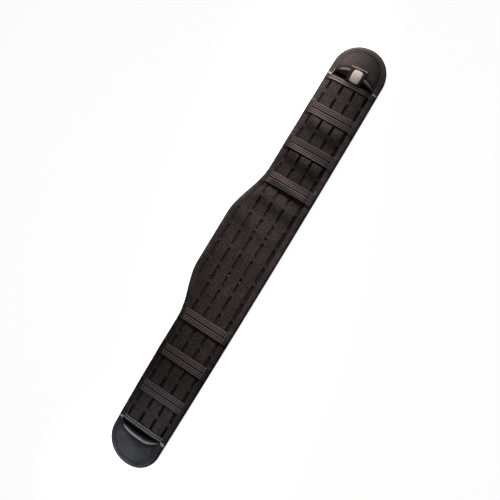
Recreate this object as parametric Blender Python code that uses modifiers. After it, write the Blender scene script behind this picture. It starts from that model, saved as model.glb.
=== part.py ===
"""A padded belt sleeve, lying open with its slotted outer face up.

A foam pad with a wide lumbar and two round ends is bound all round with folded tape.
On it lies a stiff face panel cut with rows of slots. Six webbing straps cross the panel,
and a narrow tape is folded over each of its ends. A cloth hood with a rolled lip covers
each round end and leaves a mouth where an inner belt slips in under the panel.

Metres, +Z up, +X along the belt, the flare of the lumbar on the +Y side. The origin is
under the middle of the belt, on the surface that it lies on.
"""

import math
from bisect import bisect_right
from collections import namedtuple

import bmesh
import bpy
import numpy as np

COLLECTION_NAME = "padded_belt"

# Slot grid of the face panel: the usual webbing grid for pouches
GRID_PITCH_X = 0.0381
GRID_PITCH_Y = 0.0254
GRID_CENTRE_Y = -0.00015
SLOT_WIDTH = 0.0038
SLOT_BRIDGE = 0.0095
SLOT_COLUMNS = range(-10, 10)
FULL_ROWS = (-2, -1, 0, 1)
LUMBAR_ROW = 2
LUMBAR_COLUMNS = range(-2, 2)
# Cells between the panel's lines, counted from its lower edge
FULL_SLOT_CELLS = (2, 5, 7, 10)
LUMBAR_SLOT_CELL = 13
RAISED_CELLS = range(4, 9)
# Columns of slots that have one more line through their middle
MIDDLE_LINE_COLUMNS = range(-4, 8)
# The loose right half of the panel is drawn in by its waves
DRAW_IN = 0.0038
DRAW_START_X = 0.060
DRAW_FULL_X = 0.160

# Outline of the belt, seen from above
HALF_LENGTH = 0.4474
LUMBAR_EDGE_Y = 0.0670
BOTTOM_EDGE_Y = -0.0670
BOTTOM_BOW = 0.0033
END_ROUNDNESS = 2.05
QUARTER_STEPS = 9
BOTTOM_STEPS = 4
STATION_SPACING = 0.001

# The arm's upper edge drops by its taper in the TAPER_RUN past TAPER_START_X
Flare = namedtuple("Flare", "arm_y arm_x lumbar_x taper")
FLARES = {
    "left": Flare(arm_y=0.0435, arm_x=-0.1648, lumbar_x=-0.0577, taper=0.0030),
    "right": Flare(arm_y=0.0414, arm_x=0.1647, lumbar_x=0.0510, taper=0.0),
}
FLARE_STEPS = 9
TAPER_START_X = 0.200
TAPER_RUN = 0.200
TAPER_STEPS = 3

# Each round end is two quarter curves that meet at its apex. The face panel stops
# at panel_x from the belt's middle, and the hood's corners are at hood_x.
End = namedtuple("End", "side apex_y top_run bottom_run panel_x hood_x")
ENDS = {
    "left": End(
        side=-1, apex_y=-0.0170, top_run=0.0524, bottom_run=0.0417, panel_x=0.3769, hood_x=0.3797
    ),
    "right": End(
        side=1, apex_y=-0.0103, top_run=0.0501, bottom_run=0.0566, panel_x=0.3714, hood_x=0.3752
    ),
}

# Thicknesses and the clearance between pieces
GAP = 0.0003
BINDING_THICKNESS = 0.0010
CLOTH_THICKNESS = 0.0014
WEBBING_THICKNESS = 0.0015
TAPE_THICKNESS = 0.0012
LABEL_THICKNESS = 0.0010

# Heights: a flat flange under the binding, then a rise to the padded middle
FLANGE_BOTTOM = BINDING_THICKNESS + GAP
FLANGE_TOP = 0.0060
FLANGE_DEPTH = 0.0105
MIDDLE_DEPTH = 0.0185
PAD_RISE = 0.0028
PANEL_RISE = 0.0034
PANEL_EDGE_TOP = FLANGE_TOP + GAP + CLOTH_THICKNESS
BINDING_TOP = PANEL_EDGE_TOP + GAP + BINDING_THICKNESS

# Insets from the outline
PAD_INSET = 0.0030
SHEET_INSET = 0.0034
STRAP_INSET = 0.0045
SOLE_INSET = 0.0120
SOLE_STEP_INSET = 0.0096

# Section of the folded binding, from its upper inner edge round to its lower one
BindingPoint = namedtuple("BindingPoint", "inset height lift_share")
BINDING_SECTION = (
    BindingPoint(0.0100, BINDING_TOP, 1.0),
    BindingPoint(0.0024, BINDING_TOP, 1.0),
    BindingPoint(0.0000, 0.0069, 0.4),
    BindingPoint(0.0000, 0.0021, 0.0),
    BindingPoint(0.0024, 0.0000, 0.0),
    BindingPoint(0.0090, 0.0000, 0.0),
)
BINDING_LIFT_MARGIN = 0.0006
BINDING_LIFT_RAMP = 0.0026

# Webbing straps across the panel, centred on these bridges of the slot grid
STRAP_BRIDGES = (-8, -6, -4, 4, 6, 8)
STRAP_WIDTH = 0.0245

# The ends of the face panel stand off the pad, where the inner belt goes in
END_MARGIN = 0.0040
END_LIFT = 0.0019
LIFT_START_X = 0.320
LIFT_FULL_X = 0.362
RISE_LINE_Y = 0.0205

# Narrow tape folded over each end of the panel
TAPE_WIDTH = 0.0102
TAPE_LOWER_LEG = 0.0080
TAPE_SLACK = 0.0004

# Waves in the loosely laid right half of the panel
Wave = namedtuple("Wave", "centre_x reach height")
WAVES = (
    Wave(centre_x=0.046, reach=0.025, height=0.0024),
    Wave(centre_x=0.104, reach=0.026, height=0.0032),
    Wave(centre_x=0.1487, reach=0.014, height=0.0014),
    Wave(centre_x=0.196, reach=0.025, height=0.0036),
    Wave(centre_x=0.268, reach=0.024, height=0.0034),
)
WAVE_SLANT = 0.16

# Mouth of each hood, from its upper corner to its lower one: where the lip ends, in
# distance from the belt's middle, how wide it rolls, and how high its crest stands
LipRow = namedtuple("LipRow", "y edge_x roll height")
MOUTHS = {
    "left": (
        LipRow(0.0270, 0.3797, 0.0014, 0.0003),
        LipRow(0.0195, 0.3848, 0.0050, 0.0046),
        LipRow(0.0065, 0.3860, 0.0064, 0.0072),
        LipRow(-0.0060, 0.3864, 0.0072, 0.0082),
        LipRow(-0.0185, 0.3874, 0.0080, 0.0086),
        LipRow(-0.0275, 0.3887, 0.0082, 0.0086),
        LipRow(-0.0375, 0.3862, 0.0066, 0.0072),
        LipRow(-0.0455, 0.3825, 0.0038, 0.0040),
        LipRow(-0.0500, 0.3797, 0.0014, 0.0003),
    ),
    "right": (
        LipRow(0.0280, 0.3752, 0.0014, 0.0003),
        LipRow(0.0190, 0.3834, 0.0038, 0.0046),
        LipRow(0.0055, 0.3866, 0.0050, 0.0066),
        LipRow(-0.0120, 0.3854, 0.0056, 0.0070),
        LipRow(-0.0290, 0.3802, 0.0054, 0.0072),
        LipRow(-0.0400, 0.3784, 0.0048, 0.0066),
        LipRow(-0.0460, 0.3768, 0.0034, 0.0042),
        LipRow(-0.0500, 0.3752, 0.0014, 0.0003),
    ),
}
HOOD_CLEARANCE = 0.0005
HOOD_FLANGE_INSET = 0.0110
HOOD_COLUMNS = 20

# Section of a hood from its lip towards the round end: how far, in rolls from the lip,
# and the share of the crest's height
LipPoint = namedtuple("LipPoint", "rolls share")
LIP_SECTION = (
    LipPoint(0.0, 0.62),
    LipPoint(0.25, 0.84),
    LipPoint(0.6, 0.96),
    LipPoint(1.0, 1.0),
    LipPoint(1.35, 0.74),
    LipPoint(1.75, 0.52),
)
# Beyond the crease behind the lip: how far, in shares of what is left to the flange
DomePoint = namedtuple("DomePoint", "reach share")
DOME_SECTION = (DomePoint(0.35, 0.50), DomePoint(0.7, 0.28), DomePoint(1.0, 0.0))

# The label tab from the panel's end tape over the mouth to the hood
LabelPoint = namedtuple("LabelPoint", "x top")
LABEL_SECTION = (
    LabelPoint(0.3706, 0.0160),
    LabelPoint(0.3780, 0.0182),
    LabelPoint(0.3860, 0.0194),
    LabelPoint(0.3950, 0.0190),
    LabelPoint(0.4050, 0.0164),
)
LABEL_CENTRE_Y = -0.0132
LABEL_WIDTH = 0.0320
LABEL_SLANT = 0.0020

# Faces that meet at more than this are shaded as an edge
SHARP_ANGLE = math.radians(35)
WELD_DISTANCE = 1e-6

# Colours (linear red, green, blue) and roughness of each material
Finish = namedtuple("Finish", "colour roughness")
FINISHES = {
    "pad_cloth": Finish((0.012, 0.012, 0.013), 0.95),
    "panel_cloth": Finish((0.024, 0.022, 0.021), 0.85),
    "binding_tape": Finish((0.030, 0.026, 0.029), 0.88),
    "webbing": Finish((0.042, 0.034, 0.035), 0.80),
    "end_tape": Finish((0.050, 0.044, 0.044), 0.82),
    "hood_cloth": Finish((0.032, 0.031, 0.032), 0.72),
    "label_cloth": Finish((0.008, 0.008, 0.009), 0.90),
}

Station = namedtuple("Station", "x y out_x out_y")


def clear_scene():
    """Remove whatever the open file holds."""
    for obj in list(bpy.data.objects):
        bpy.data.objects.remove(obj, do_unlink=True)


def clamp(value):
    """The value held between 0 and 1."""
    return min(1.0, max(0.0, value))


def smoothstep(value):
    """An even S curve from 0 to 1."""
    t = clamp(value)
    return t * t * (3.0 - 2.0 * t)


def mix(a, b, share):
    """The value a share of the way from a to b."""
    return a + (b - a) * share


def straight_top_y(x):
    """Upper edge of the outline between the round ends."""
    flare = FLARES["left" if x < 0 else "right"]
    rise = smoothstep((x - flare.arm_x) / (flare.lumbar_x - flare.arm_x))
    past = max(0.0, abs(x) - TAPER_START_X) / TAPER_RUN
    return mix(flare.arm_y, LUMBAR_EDGE_Y, rise) - flare.taper * past**2


def straight_bottom_y(x):
    """Lower edge of the outline between the round ends, slightly bowed."""
    return BOTTOM_EDGE_Y + BOTTOM_BOW * (x / HALF_LENGTH) ** 2


def edge_of(end, edge):
    """(run, start_x, edge_y) of one quarter curve of a round end."""
    run = end.top_run if edge == "top" else end.bottom_run
    start_x = end.side * (HALF_LENGTH - run)
    edge_y = straight_top_y(start_x) if edge == "top" else straight_bottom_y(start_x)
    return run, start_x, edge_y


def quarter_point(end, edge, angle):
    """Point of a quarter curve, from its start (angle 0) to the apex (a right angle)."""
    run, start_x, edge_y = edge_of(end, edge)
    power = 2.0 / END_ROUNDNESS
    along = max(0.0, math.sin(angle)) ** power
    across = max(0.0, math.cos(angle)) ** power
    return start_x + end.side * run * along, mix(end.apex_y, edge_y, across)


def drawn_x(x):
    """X of a place on the panel, after its waves have drawn the right half in."""
    return x - DRAW_IN * smoothstep((x - DRAW_START_X) / (DRAW_FULL_X - DRAW_START_X))


def strap_centres():
    """X of each strap's middle."""
    return [drawn_x(bridge * GRID_PITCH_X) for bridge in STRAP_BRIDGES]


def tape_lines(end):
    """Distance from the belt's middle to an end tape's inner edge, fold and lower edge."""
    fold = end.panel_x + TAPE_SLACK
    return fold + TAPE_THICKNESS - TAPE_WIDTH, fold, fold - TAPE_LOWER_LEG


def lift_spans():
    """(low x, high x, lift) of the binding over each strap end and end tape."""
    half = STRAP_WIDTH / 2 + BINDING_LIFT_MARGIN
    strap_lift = WEBBING_THICKNESS + GAP
    spans = [(x - half, x + half, strap_lift) for x in strap_centres()]
    for end in ENDS.values():
        inner, fold, _ = tape_lines(end)
        edges = (inner - BINDING_LIFT_MARGIN, fold + TAPE_THICKNESS + BINDING_LIFT_MARGIN)
        low, high = sorted(end.side * x for x in edges)
        spans.append((low, high, TAPE_THICKNESS + GAP))
    return spans


def binding_lift(x):
    """How far the upper leg of the binding is raised at x."""
    lift = 0.0
    for low, high, height in lift_spans():
        away = max(low - x, x - high, 0.0)
        lift = max(lift, height * clamp(1.0 - away / BINDING_LIFT_RAMP))
    return lift


def lift_breaks():
    """Every x where the raised stretches of the binding start or end."""
    breaks = []
    for low, high, _ in lift_spans():
        breaks += [low - BINDING_LIFT_RAMP, low, high, high + BINDING_LIFT_RAMP]
    return breaks


def quarter_angles(end, edge, breaks):
    """Angles along a quarter curve, with one at each break in the first half of its run."""
    run, start_x, _ = edge_of(end, edge)
    angles = [math.pi / 2 * k / QUARTER_STEPS for k in range(1, QUARTER_STEPS)]
    for x in breaks:
        along = (x - start_x) * end.side / run
        if 0.0 < along < 0.5:
            angles.append(math.asin(along ** (END_ROUNDNESS / 2)))
    return sorted(angles)


def straight_stations(edge, breaks):
    """X of each station on a straight edge, from left to right."""
    _, low, _ = edge_of(ENDS["left"], edge)
    _, high, _ = edge_of(ENDS["right"], edge)
    xs = [low, high] + [x for x in breaks if low < x < high]
    if edge == "top":
        for flare in FLARES.values():
            for k in range(FLARE_STEPS + 1):
                xs.append(mix(flare.arm_x, flare.lumbar_x, k / FLARE_STEPS))
        for k in range(TAPER_STEPS):
            xs.append(mix(low, -TAPER_START_X, k / TAPER_STEPS))
    else:
        xs += [HALF_LENGTH * k / BOTTOM_STEPS for k in range(1 - BOTTOM_STEPS, BOTTOM_STEPS)]
    kept = []
    for x in sorted(xs):
        if not kept or x - kept[-1] > STATION_SPACING:
            kept.append(x)
    return kept


def outline_stations(breaks=()):
    """The whole outline, anticlockwise from above, with the outward direction at each."""
    points = [(x, straight_bottom_y(x)) for x in straight_stations("bottom", breaks)]
    right, left = ENDS["right"], ENDS["left"]
    points += [quarter_point(right, "bottom", a) for a in quarter_angles(right, "bottom", breaks)]
    points.append((HALF_LENGTH, right.apex_y))
    points += [quarter_point(right, "top", a) for a in reversed(quarter_angles(right, "top", breaks))]
    points += [(x, straight_top_y(x)) for x in reversed(straight_stations("top", breaks))]
    points += [quarter_point(left, "top", a) for a in quarter_angles(left, "top", breaks)]
    points.append((-HALF_LENGTH, left.apex_y))
    points += [quarter_point(left, "bottom", a) for a in reversed(quarter_angles(left, "bottom", breaks))]
    return with_normals(points)


def with_normals(points):
    """Stations of a closed line of points, each with its outward direction."""
    stations = []
    for k, (x, y) in enumerate(points):
        before, after = points[k - 1], points[(k + 1) % len(points)]
        out_x = out_y = 0.0
        for a, b in ((before, (x, y)), ((x, y), after)):
            length = math.dist(a, b)
            out_x += (b[1] - a[1]) / length
            out_y -= (b[0] - a[0]) / length
        size = math.hypot(out_x, out_y)
        stations.append(Station(x, y, out_x / size, out_y / size))
    return stations


def inset_point(station, inset):
    """The station moved inwards, square to the outline."""
    return station.x - station.out_x * inset, station.y - station.out_y * inset


OUTLINE = outline_stations()
OUTLINE_START = np.array([(s.x, s.y) for s in OUTLINE])
OUTLINE_RUN = np.roll(OUTLINE_START, -1, axis=0) - OUTLINE_START


def depth_inside(x, y):
    """Distance from a point inside the outline to the outline."""
    away = np.array((x, y)) - OUTLINE_START
    share = np.clip((away * OUTLINE_RUN).sum(axis=1) / (OUTLINE_RUN**2).sum(axis=1), 0, 1)
    return float(np.linalg.norm(away - share[:, None] * OUTLINE_RUN, axis=1).min())


def crown(x, y):
    """0 over the flange and 1 over the padded middle."""
    return clamp((depth_inside(x, y) - FLANGE_DEPTH) / (MIDDLE_DEPTH - FLANGE_DEPTH))


def pad_top(x, y):
    """Height of the pad's upper side."""
    return FLANGE_TOP + PAD_RISE * crown(x, y)


def wave_height(x, y):
    """Extra height of the loosely laid panel, whose waves run at a slant."""
    height = 0.0
    for wave in WAVES:
        away = abs(x - WAVE_SLANT * y - wave.centre_x) / wave.reach
        if away < 1.0:
            height += wave.height * (1.0 + math.cos(math.pi * away)) / 2
    return height


def panel_top(x, y):
    """Height of the face panel's upper side."""
    end_lift = END_LIFT * smoothstep((abs(x) - LIFT_START_X) / (LIFT_FULL_X - LIFT_START_X))
    return PANEL_EDGE_TOP + crown(x, y) * (PANEL_RISE + wave_height(x, y) + end_lift)


def slot_row_edges(row):
    """Lower and upper y of a row of slots."""
    centre = GRID_CENTRE_Y + row * GRID_PITCH_Y
    return centre - SLOT_WIDTH / 2, centre + SLOT_WIDTH / 2


def panel_rows(x):
    """Y of each line of the panel at x, from its lower edge to its upper one."""
    low, high = straight_bottom_y(x), straight_top_y(x)
    rows = [low + SHEET_INSET, low + FLANGE_DEPTH]
    for row in FULL_ROWS:
        if row == FULL_ROWS[-1]:
            rows.append(RISE_LINE_Y)
        rows += slot_row_edges(row)
        if row == FULL_ROWS[0]:
            rows.append(low + MIDDLE_DEPTH)
    base, flange = rows[-1], high - FLANGE_DEPTH
    arm_y = FLARES["left" if x < 0 else "right"].arm_y
    lumbar = (high - arm_y) / (LUMBAR_EDGE_Y - arm_y)
    span = LUMBAR_EDGE_Y - FLANGE_DEPTH - base
    lumbar_lines = (LUMBAR_EDGE_Y - MIDDLE_DEPTH, *slot_row_edges(LUMBAR_ROW))
    for k, y in enumerate(lumbar_lines):
        share = mix((k + 1) / (len(lumbar_lines) + 1), (y - base) / span, lumbar)
        rows.append(mix(base, flange, share))
    return rows + [flange, high - SHEET_INSET]


def panel_ends():
    """Left and right x of the panel."""
    return -ENDS["left"].panel_x, ENDS["right"].panel_x


def slot_ends(column):
    """Left and right x of the slots in a column."""
    low, high = panel_ends()
    left = drawn_x(column * GRID_PITCH_X + SLOT_BRIDGE / 2)
    right = drawn_x((column + 1) * GRID_PITCH_X - SLOT_BRIDGE / 2)
    return max(left, low + END_MARGIN), min(right, high - END_MARGIN)


def panel_columns():
    """X of each line of the panel."""
    xs = list(panel_ends())
    for column in SLOT_COLUMNS:
        left, right = slot_ends(column)
        xs += [left, right]
        if column in MIDDLE_LINE_COLUMNS:
            xs.append((left + right) / 2)
    return sorted(xs)


def is_slot(x, cell):
    """True for a cell of the panel, given by its middle x and its place across, cut out."""
    for column in SLOT_COLUMNS:
        left, right = slot_ends(column)
        if left < x < right:
            in_lumbar = cell == LUMBAR_SLOT_CELL and column in LUMBAR_COLUMNS
            return cell in FULL_SLOT_CELLS or in_lumbar
    return False


def sheet_mesh(columns, rows, place, leave_out=None, joined=False):
    """A grid of cells bent into place, as an open surface.

    place(i, j) gives the point of column line i and row line j, leave_out(i, j) says
    whether a cell is cut away, and joined closes the last column onto the first.
    """
    bm = bmesh.new()
    bmesh.ops.create_grid(bm, x_segments=columns, y_segments=rows, size=1.0)
    index = {v: (round((v.co.x + 1) / 2 * columns), round((v.co.y + 1) / 2 * rows)) for v in bm.verts}
    if leave_out:
        cut = []
        for face in bm.faces:
            i = min(index[v][0] for v in face.verts)
            j = min(index[v][1] for v in face.verts)
            if leave_out(i, j):
                cut.append(face)
        bmesh.ops.delete(bm, geom=cut, context="FACES")
    for v in bm.verts:
        i, j = index[v]
        v.co = place(i % columns if joined else i, j)
    if joined:
        bmesh.ops.remove_doubles(bm, verts=bm.verts, dist=WELD_DISTANCE)
    return bm


def finish_object(name, bm, finish, collection):
    """Turn a bmesh into a named object with its own material."""
    mesh = bpy.data.meshes.new(name)
    bm.to_mesh(mesh)
    bm.free()
    obj = bpy.data.objects.new(name, mesh)
    collection.objects.link(obj)
    mesh.materials.append(material_for(name, FINISHES[finish]))
    mesh.shade_smooth()
    mesh.set_sharp_from_angle(angle=SHARP_ANGLE)
    return obj


def material_for(name, finish):
    """A plain surface of one colour and roughness."""
    material = bpy.data.materials.new(name)
    material.use_nodes = True
    shader = material.node_tree.nodes["Principled BSDF"]
    shader.inputs["Base Color"].default_value = (*finish.colour, 1.0)
    shader.inputs["Roughness"].default_value = finish.roughness
    shader.inputs["Metallic"].default_value = 0.0
    return material


def thicken(obj, thickness, outwards):
    """Give an open surface a wall on the side its normals point to, or on the other."""
    wall = obj.modifiers.new("wall", "SOLIDIFY")
    wall.thickness = thickness
    wall.offset = 1.0 if outwards else -1.0
    wall.use_even_offset = True
    return obj


def build_pad(collection):
    """The foam pad: a flat sole, a pressed flange all round and a raised middle."""
    rings = (
        (SOLE_INSET, 0.0),
        (SOLE_STEP_INSET, FLANGE_BOTTOM),
        (PAD_INSET, FLANGE_BOTTOM),
        (PAD_INSET, FLANGE_TOP),
        (FLANGE_DEPTH, FLANGE_TOP),
        (MIDDLE_DEPTH, FLANGE_TOP + PAD_RISE),
    )

    def place(i, j):
        inset, height = rings[j]
        return (*inset_point(OUTLINE[i], inset), height)

    bm = sheet_mesh(len(OUTLINE), len(rings) - 1, place, joined=True)
    bmesh.ops.holes_fill(bm, edges=[e for e in bm.edges if e.is_boundary])
    bmesh.ops.recalc_face_normals(bm, faces=bm.faces)
    return finish_object("pad_body", bm, "pad_cloth", collection)


def build_binding(collection):
    """The folded tape round the whole outline, raised over strap ends."""
    stations = outline_stations(lift_breaks())

    def place(i, j):
        station, point = stations[i], BINDING_SECTION[j]
        x, y = inset_point(station, point.inset)
        return x, y, point.height + binding_lift(station.x) * point.lift_share

    bm = sheet_mesh(len(stations), len(BINDING_SECTION) - 1, place, joined=True)
    bmesh.ops.reverse_faces(bm, faces=bm.faces)
    obj = finish_object("edge_binding", bm, "binding_tape", collection)
    return thicken(obj, BINDING_THICKNESS, outwards=False)


def build_panel(collection):
    """The slotted outer cloth."""
    columns = panel_columns()
    lines = [panel_rows(x) for x in columns]

    def place(i, j):
        x, y = columns[i], lines[i][j]
        return x, y, panel_top(x, y)

    def leave_out(i, j):
        return is_slot((columns[i] + columns[i + 1]) / 2, j)

    bm = sheet_mesh(len(columns) - 1, len(lines[0]) - 1, place, leave_out)
    obj = finish_object("face_panel", bm, "panel_cloth", collection)
    return thicken(obj, CLOTH_THICKNESS, outwards=False)


def panel_surface(x, j):
    """(y, z) of row line j of the panel's upper side at any x."""
    columns = panel_columns()
    inside = min(max(x, columns[0]), columns[-1])
    k = min(bisect_right(columns, inside), len(columns) - 1)
    share = (inside - columns[k - 1]) / (columns[k] - columns[k - 1])
    ends = []
    for column in (columns[k - 1], columns[k]):
        y = panel_rows(column)[j]
        ends.append((y, panel_top(column, y)))
    return mix(ends[0][0], ends[1][0], share), mix(ends[0][1], ends[1][1], share)


def over_panel(x, j, last):
    """(y, z) just over the panel, its outermost lines drawn back to a strap's ends."""
    y, z = panel_surface(x, j)
    pull = STRAP_INSET - SHEET_INSET
    if j == 0:
        y += pull
    elif j == last:
        y -= pull
    return y, z + GAP


def build_strap(number, bridge, collection):
    """One webbing strap across the panel, its ends under the binding."""
    centre_x = drawn_x(bridge * GRID_PITCH_X)
    bridge_edges = [drawn_x(bridge * GRID_PITCH_X + side * SLOT_BRIDGE / 2) for side in (-1, 1)]
    xs = [centre_x - STRAP_WIDTH / 2, *bridge_edges, centre_x + STRAP_WIDTH / 2]
    rows = len(panel_rows(centre_x)) - 1

    def place(i, j):
        return (xs[i], *over_panel(xs[i], j, rows))

    bm = sheet_mesh(len(xs) - 1, rows, place)
    obj = finish_object(f"keeper_strap_{number}", bm, "webbing", collection)
    return thicken(obj, WEBBING_THICKNESS, outwards=True)


def build_mouth_tape(side, collection):
    """The narrow tape folded over one end of the panel.

    Its upper leg runs under the binding at both ends. Its lower leg is only as long as
    the stretch where the panel stands off the pad.
    """
    end = ENDS[side]
    sign = end.side
    inner, fold, lower = tape_lines(end)
    rows = len(panel_rows(0.0)) - 1
    # Distance from the belt's middle, and whether the point is under the panel
    section = (
        (inner, False),
        (end.panel_x - END_MARGIN, False),
        (fold, False),
        (fold, True),
        (lower, True),
    )

    def place(i, j):
        x, below = section[i]
        y, z = over_panel(sign * x, j, rows)
        gaps = 2 if RAISED_CELLS.start <= j <= RAISED_CELLS.stop else 1
        return sign * x, y, z - below * (CLOTH_THICKNESS + gaps * GAP)

    def leave_out(i, j):
        return i == len(section) - 2 and j not in RAISED_CELLS

    bm = sheet_mesh(len(section) - 1, rows, place, leave_out)
    if sign < 0:
        bmesh.ops.reverse_faces(bm, faces=bm.faces)
    obj = finish_object(f"mouth_tape_{side}", bm, "end_tape", collection)
    return thicken(obj, TAPE_THICKNESS, outwards=True)


def along(points, share):
    """The point, of any number of values, a share of the way along a line of points."""
    lengths = [math.dist(a[:2], b[:2]) for a, b in zip(points, points[1:])]
    left = share * sum(lengths)
    for (a, b), length in zip(zip(points, points[1:]), lengths):
        if left <= length:
            return tuple(mix(p, q, left / length) for p, q in zip(a, b))
        left -= length
    return tuple(points[-1])


def end_outline(side, inset):
    """The outline of one round end moved inwards, from the upper corner to the lower."""
    end = ENDS[side]
    found = []
    for station in OUTLINE:
        x, y = inset_point(station, inset)
        if x * end.side > end.hood_x:
            found.append((x, y))
    found.sort(key=lambda p: -math.atan2(p[1] - end.apex_y, p[0] * end.side - end.hood_x))
    corner_x = end.side * end.hood_x
    upper = (corner_x, straight_top_y(corner_x) - inset)
    lower = (corner_x, straight_bottom_y(corner_x) + inset)
    return [upper, *found, lower]


def build_hood(side, collection):
    """The cloth cap of one round end, with a rolled lip over its open mouth."""
    edge = end_outline(side, SHEET_INSET)
    flange = end_outline(side, HOOD_FLANGE_INSET)
    sign = ENDS[side].side
    lip = [(sign * row.edge_x, row.y, row.roll, row.height) for row in MOUTHS[side]]
    flange_height = FLANGE_TOP + GAP
    rows = len(LIP_SECTION) + len(DOME_SECTION)

    def place(i, j):
        share = i / HOOD_COLUMNS
        if j == rows:
            return (*along(edge, share), flange_height)
        x, y, roll, height = along(lip, share)
        end_x, end_y = along(flange, share)
        if j == rows - 1:
            return end_x, end_y, pad_top(end_x, end_y) + GAP
        length = math.dist((x, y), (end_x, end_y))
        if j < len(LIP_SECTION):
            reach = LIP_SECTION[j].rolls * roll
            rise = LIP_SECTION[j].share
        else:
            crease = LIP_SECTION[-1].rolls * roll
            point = DOME_SECTION[j - len(LIP_SECTION)]
            rise = point.share
            reach = mix(crease, length, point.reach)
        px, py = mix(x, end_x, reach / length), mix(y, end_y, reach / length)
        return px, py, pad_top(px, py) + HOOD_CLEARANCE + rise * height

    bm = sheet_mesh(HOOD_COLUMNS, rows, place)
    if sign < 0:
        bmesh.ops.reverse_faces(bm, faces=bm.faces)
    obj = finish_object(f"end_hood_{side}", bm, "hood_cloth", collection)
    return thicken(obj, CLOTH_THICKNESS, outwards=True)


def build_label(collection):
    """The cloth tab that bridges the right mouth."""
    last = len(LABEL_SECTION) - 1

    def place(i, j):
        point = LABEL_SECTION[i]
        y = LABEL_CENTRE_Y + LABEL_WIDTH * (j - 0.5)
        slant = LABEL_SLANT * (0.5 - j) * i / last
        return point.x + slant, y, point.top

    bm = sheet_mesh(last, 1, place)
    obj = finish_object("label_tab", bm, "label_cloth", collection)
    return thicken(obj, LABEL_THICKNESS, outwards=False)


def build():
    """Make every piece of the belt."""
    clear_scene()
    collection = bpy.data.collections.new(COLLECTION_NAME)
    bpy.context.scene.collection.children.link(collection)
    build_pad(collection)
    build_binding(collection)
    build_panel(collection)
    for number, bridge in enumerate(STRAP_BRIDGES, start=1):
        build_strap(number, bridge, collection)
    for side in ENDS:
        build_mouth_tape(side, collection)
        build_hood(side, collection)
    build_label(collection)


build()
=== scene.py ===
"""The looks of a padded belt sleeve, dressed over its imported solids.

Metres, +Z up, +X along the belt, the flare of the lumbar on the +Y side. UV maps are in
metres along each piece of cloth, so that a weave keeps its real scale.
"""

import logging
import math
from collections.abc import Callable, Iterator, Sequence
from contextlib import contextmanager
from dataclasses import dataclass, field
from enum import Enum

import bpy
import numpy as np
from mathutils import Matrix, Vector
from mathutils.bvhtree import BVHTree


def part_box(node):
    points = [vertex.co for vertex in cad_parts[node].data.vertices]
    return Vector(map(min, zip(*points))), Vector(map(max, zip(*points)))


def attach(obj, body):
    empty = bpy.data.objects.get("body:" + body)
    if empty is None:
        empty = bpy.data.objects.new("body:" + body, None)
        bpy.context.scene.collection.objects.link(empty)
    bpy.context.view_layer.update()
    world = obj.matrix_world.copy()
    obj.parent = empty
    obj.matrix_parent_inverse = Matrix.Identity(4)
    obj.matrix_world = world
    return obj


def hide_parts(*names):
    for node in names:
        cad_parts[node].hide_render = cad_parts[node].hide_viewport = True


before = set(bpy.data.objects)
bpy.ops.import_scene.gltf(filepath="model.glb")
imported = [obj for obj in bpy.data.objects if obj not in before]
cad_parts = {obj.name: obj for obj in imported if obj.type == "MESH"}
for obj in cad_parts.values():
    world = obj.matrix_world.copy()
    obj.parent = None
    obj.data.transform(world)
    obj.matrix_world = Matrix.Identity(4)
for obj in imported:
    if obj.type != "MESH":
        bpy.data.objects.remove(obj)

LOG = logging.getLogger("padded_belt")
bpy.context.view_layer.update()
BODY = "root"
MM = 0.001
# Edges sharper than this many degrees stay sharp, on flat cloth and on folded cloth.
SHARP, ROUND = 50.0, 60.0

Points = np.ndarray
Mesh = bpy.types.Object


class Slot(Enum):
    """Material slots of the record."""

    PAD = "pad_cloth"
    PANEL = "panel_cloth"
    BINDING = "binding_tape"
    WEBBING = "webbing"
    END_TAPE = "end_tape"
    HOOD = "hood_cloth"
    LABEL = "label_cloth"


class Side(Enum):
    """The two ends of the belt, each with the sign of its x."""

    LEFT = -1
    RIGHT = 1

    @property
    def word(self) -> str:
        """The side's name in lower case."""
        return self.name.lower()


class Hold(Enum):
    """How a piece of cloth is held."""

    LAID = "laid"
    STRETCHED = "stretched"
    FOLDED = "folded"


def clear_selection() -> None:
    """Leave nothing selected."""
    bpy.ops.object.select_all(action="DESELECT")


def pick(obj: Mesh) -> None:
    """Select one object alone and make it the active one."""
    clear_selection()
    obj.select_set(True)
    bpy.context.view_layer.objects.active = obj


@contextmanager
def editing(obj: Mesh) -> Iterator[None]:
    """Open one object in edit mode with face selection, and close it again.

    Args:
        obj: The mesh object to work on.
    """
    pick(obj)
    bpy.context.tool_settings.mesh_select_mode = (False, False, True)
    bpy.ops.object.mode_set(mode="EDIT")
    try:
        yield
    finally:
        bpy.ops.object.mode_set(mode="OBJECT")


def remove_faces(obj: Mesh, chosen: np.ndarray) -> None:
    """Cut away the faces for which chosen is true.

    Args:
        obj: The mesh object, in object mode.
        chosen: One truth value for each face.
    """
    mesh = obj.data
    for items in (mesh.vertices, mesh.edges):
        items.foreach_set("select", np.zeros(len(items), bool))
    mesh.polygons.foreach_set("select", chosen)
    with editing(obj):
        bpy.ops.mesh.delete(type="FACE")


def flip(obj: Mesh) -> None:
    """Turn every face of an object the other way round."""
    with editing(obj):
        bpy.ops.mesh.select_all(action="SELECT")
        bpy.ops.mesh.flip_normals()


def merge_close(obj: Mesh, distance: float) -> None:
    """Merge all vertices that lie closer together than a distance."""
    with editing(obj):
        bpy.ops.mesh.select_all(action="SELECT")
        bpy.ops.mesh.remove_doubles(threshold=distance)


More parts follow.
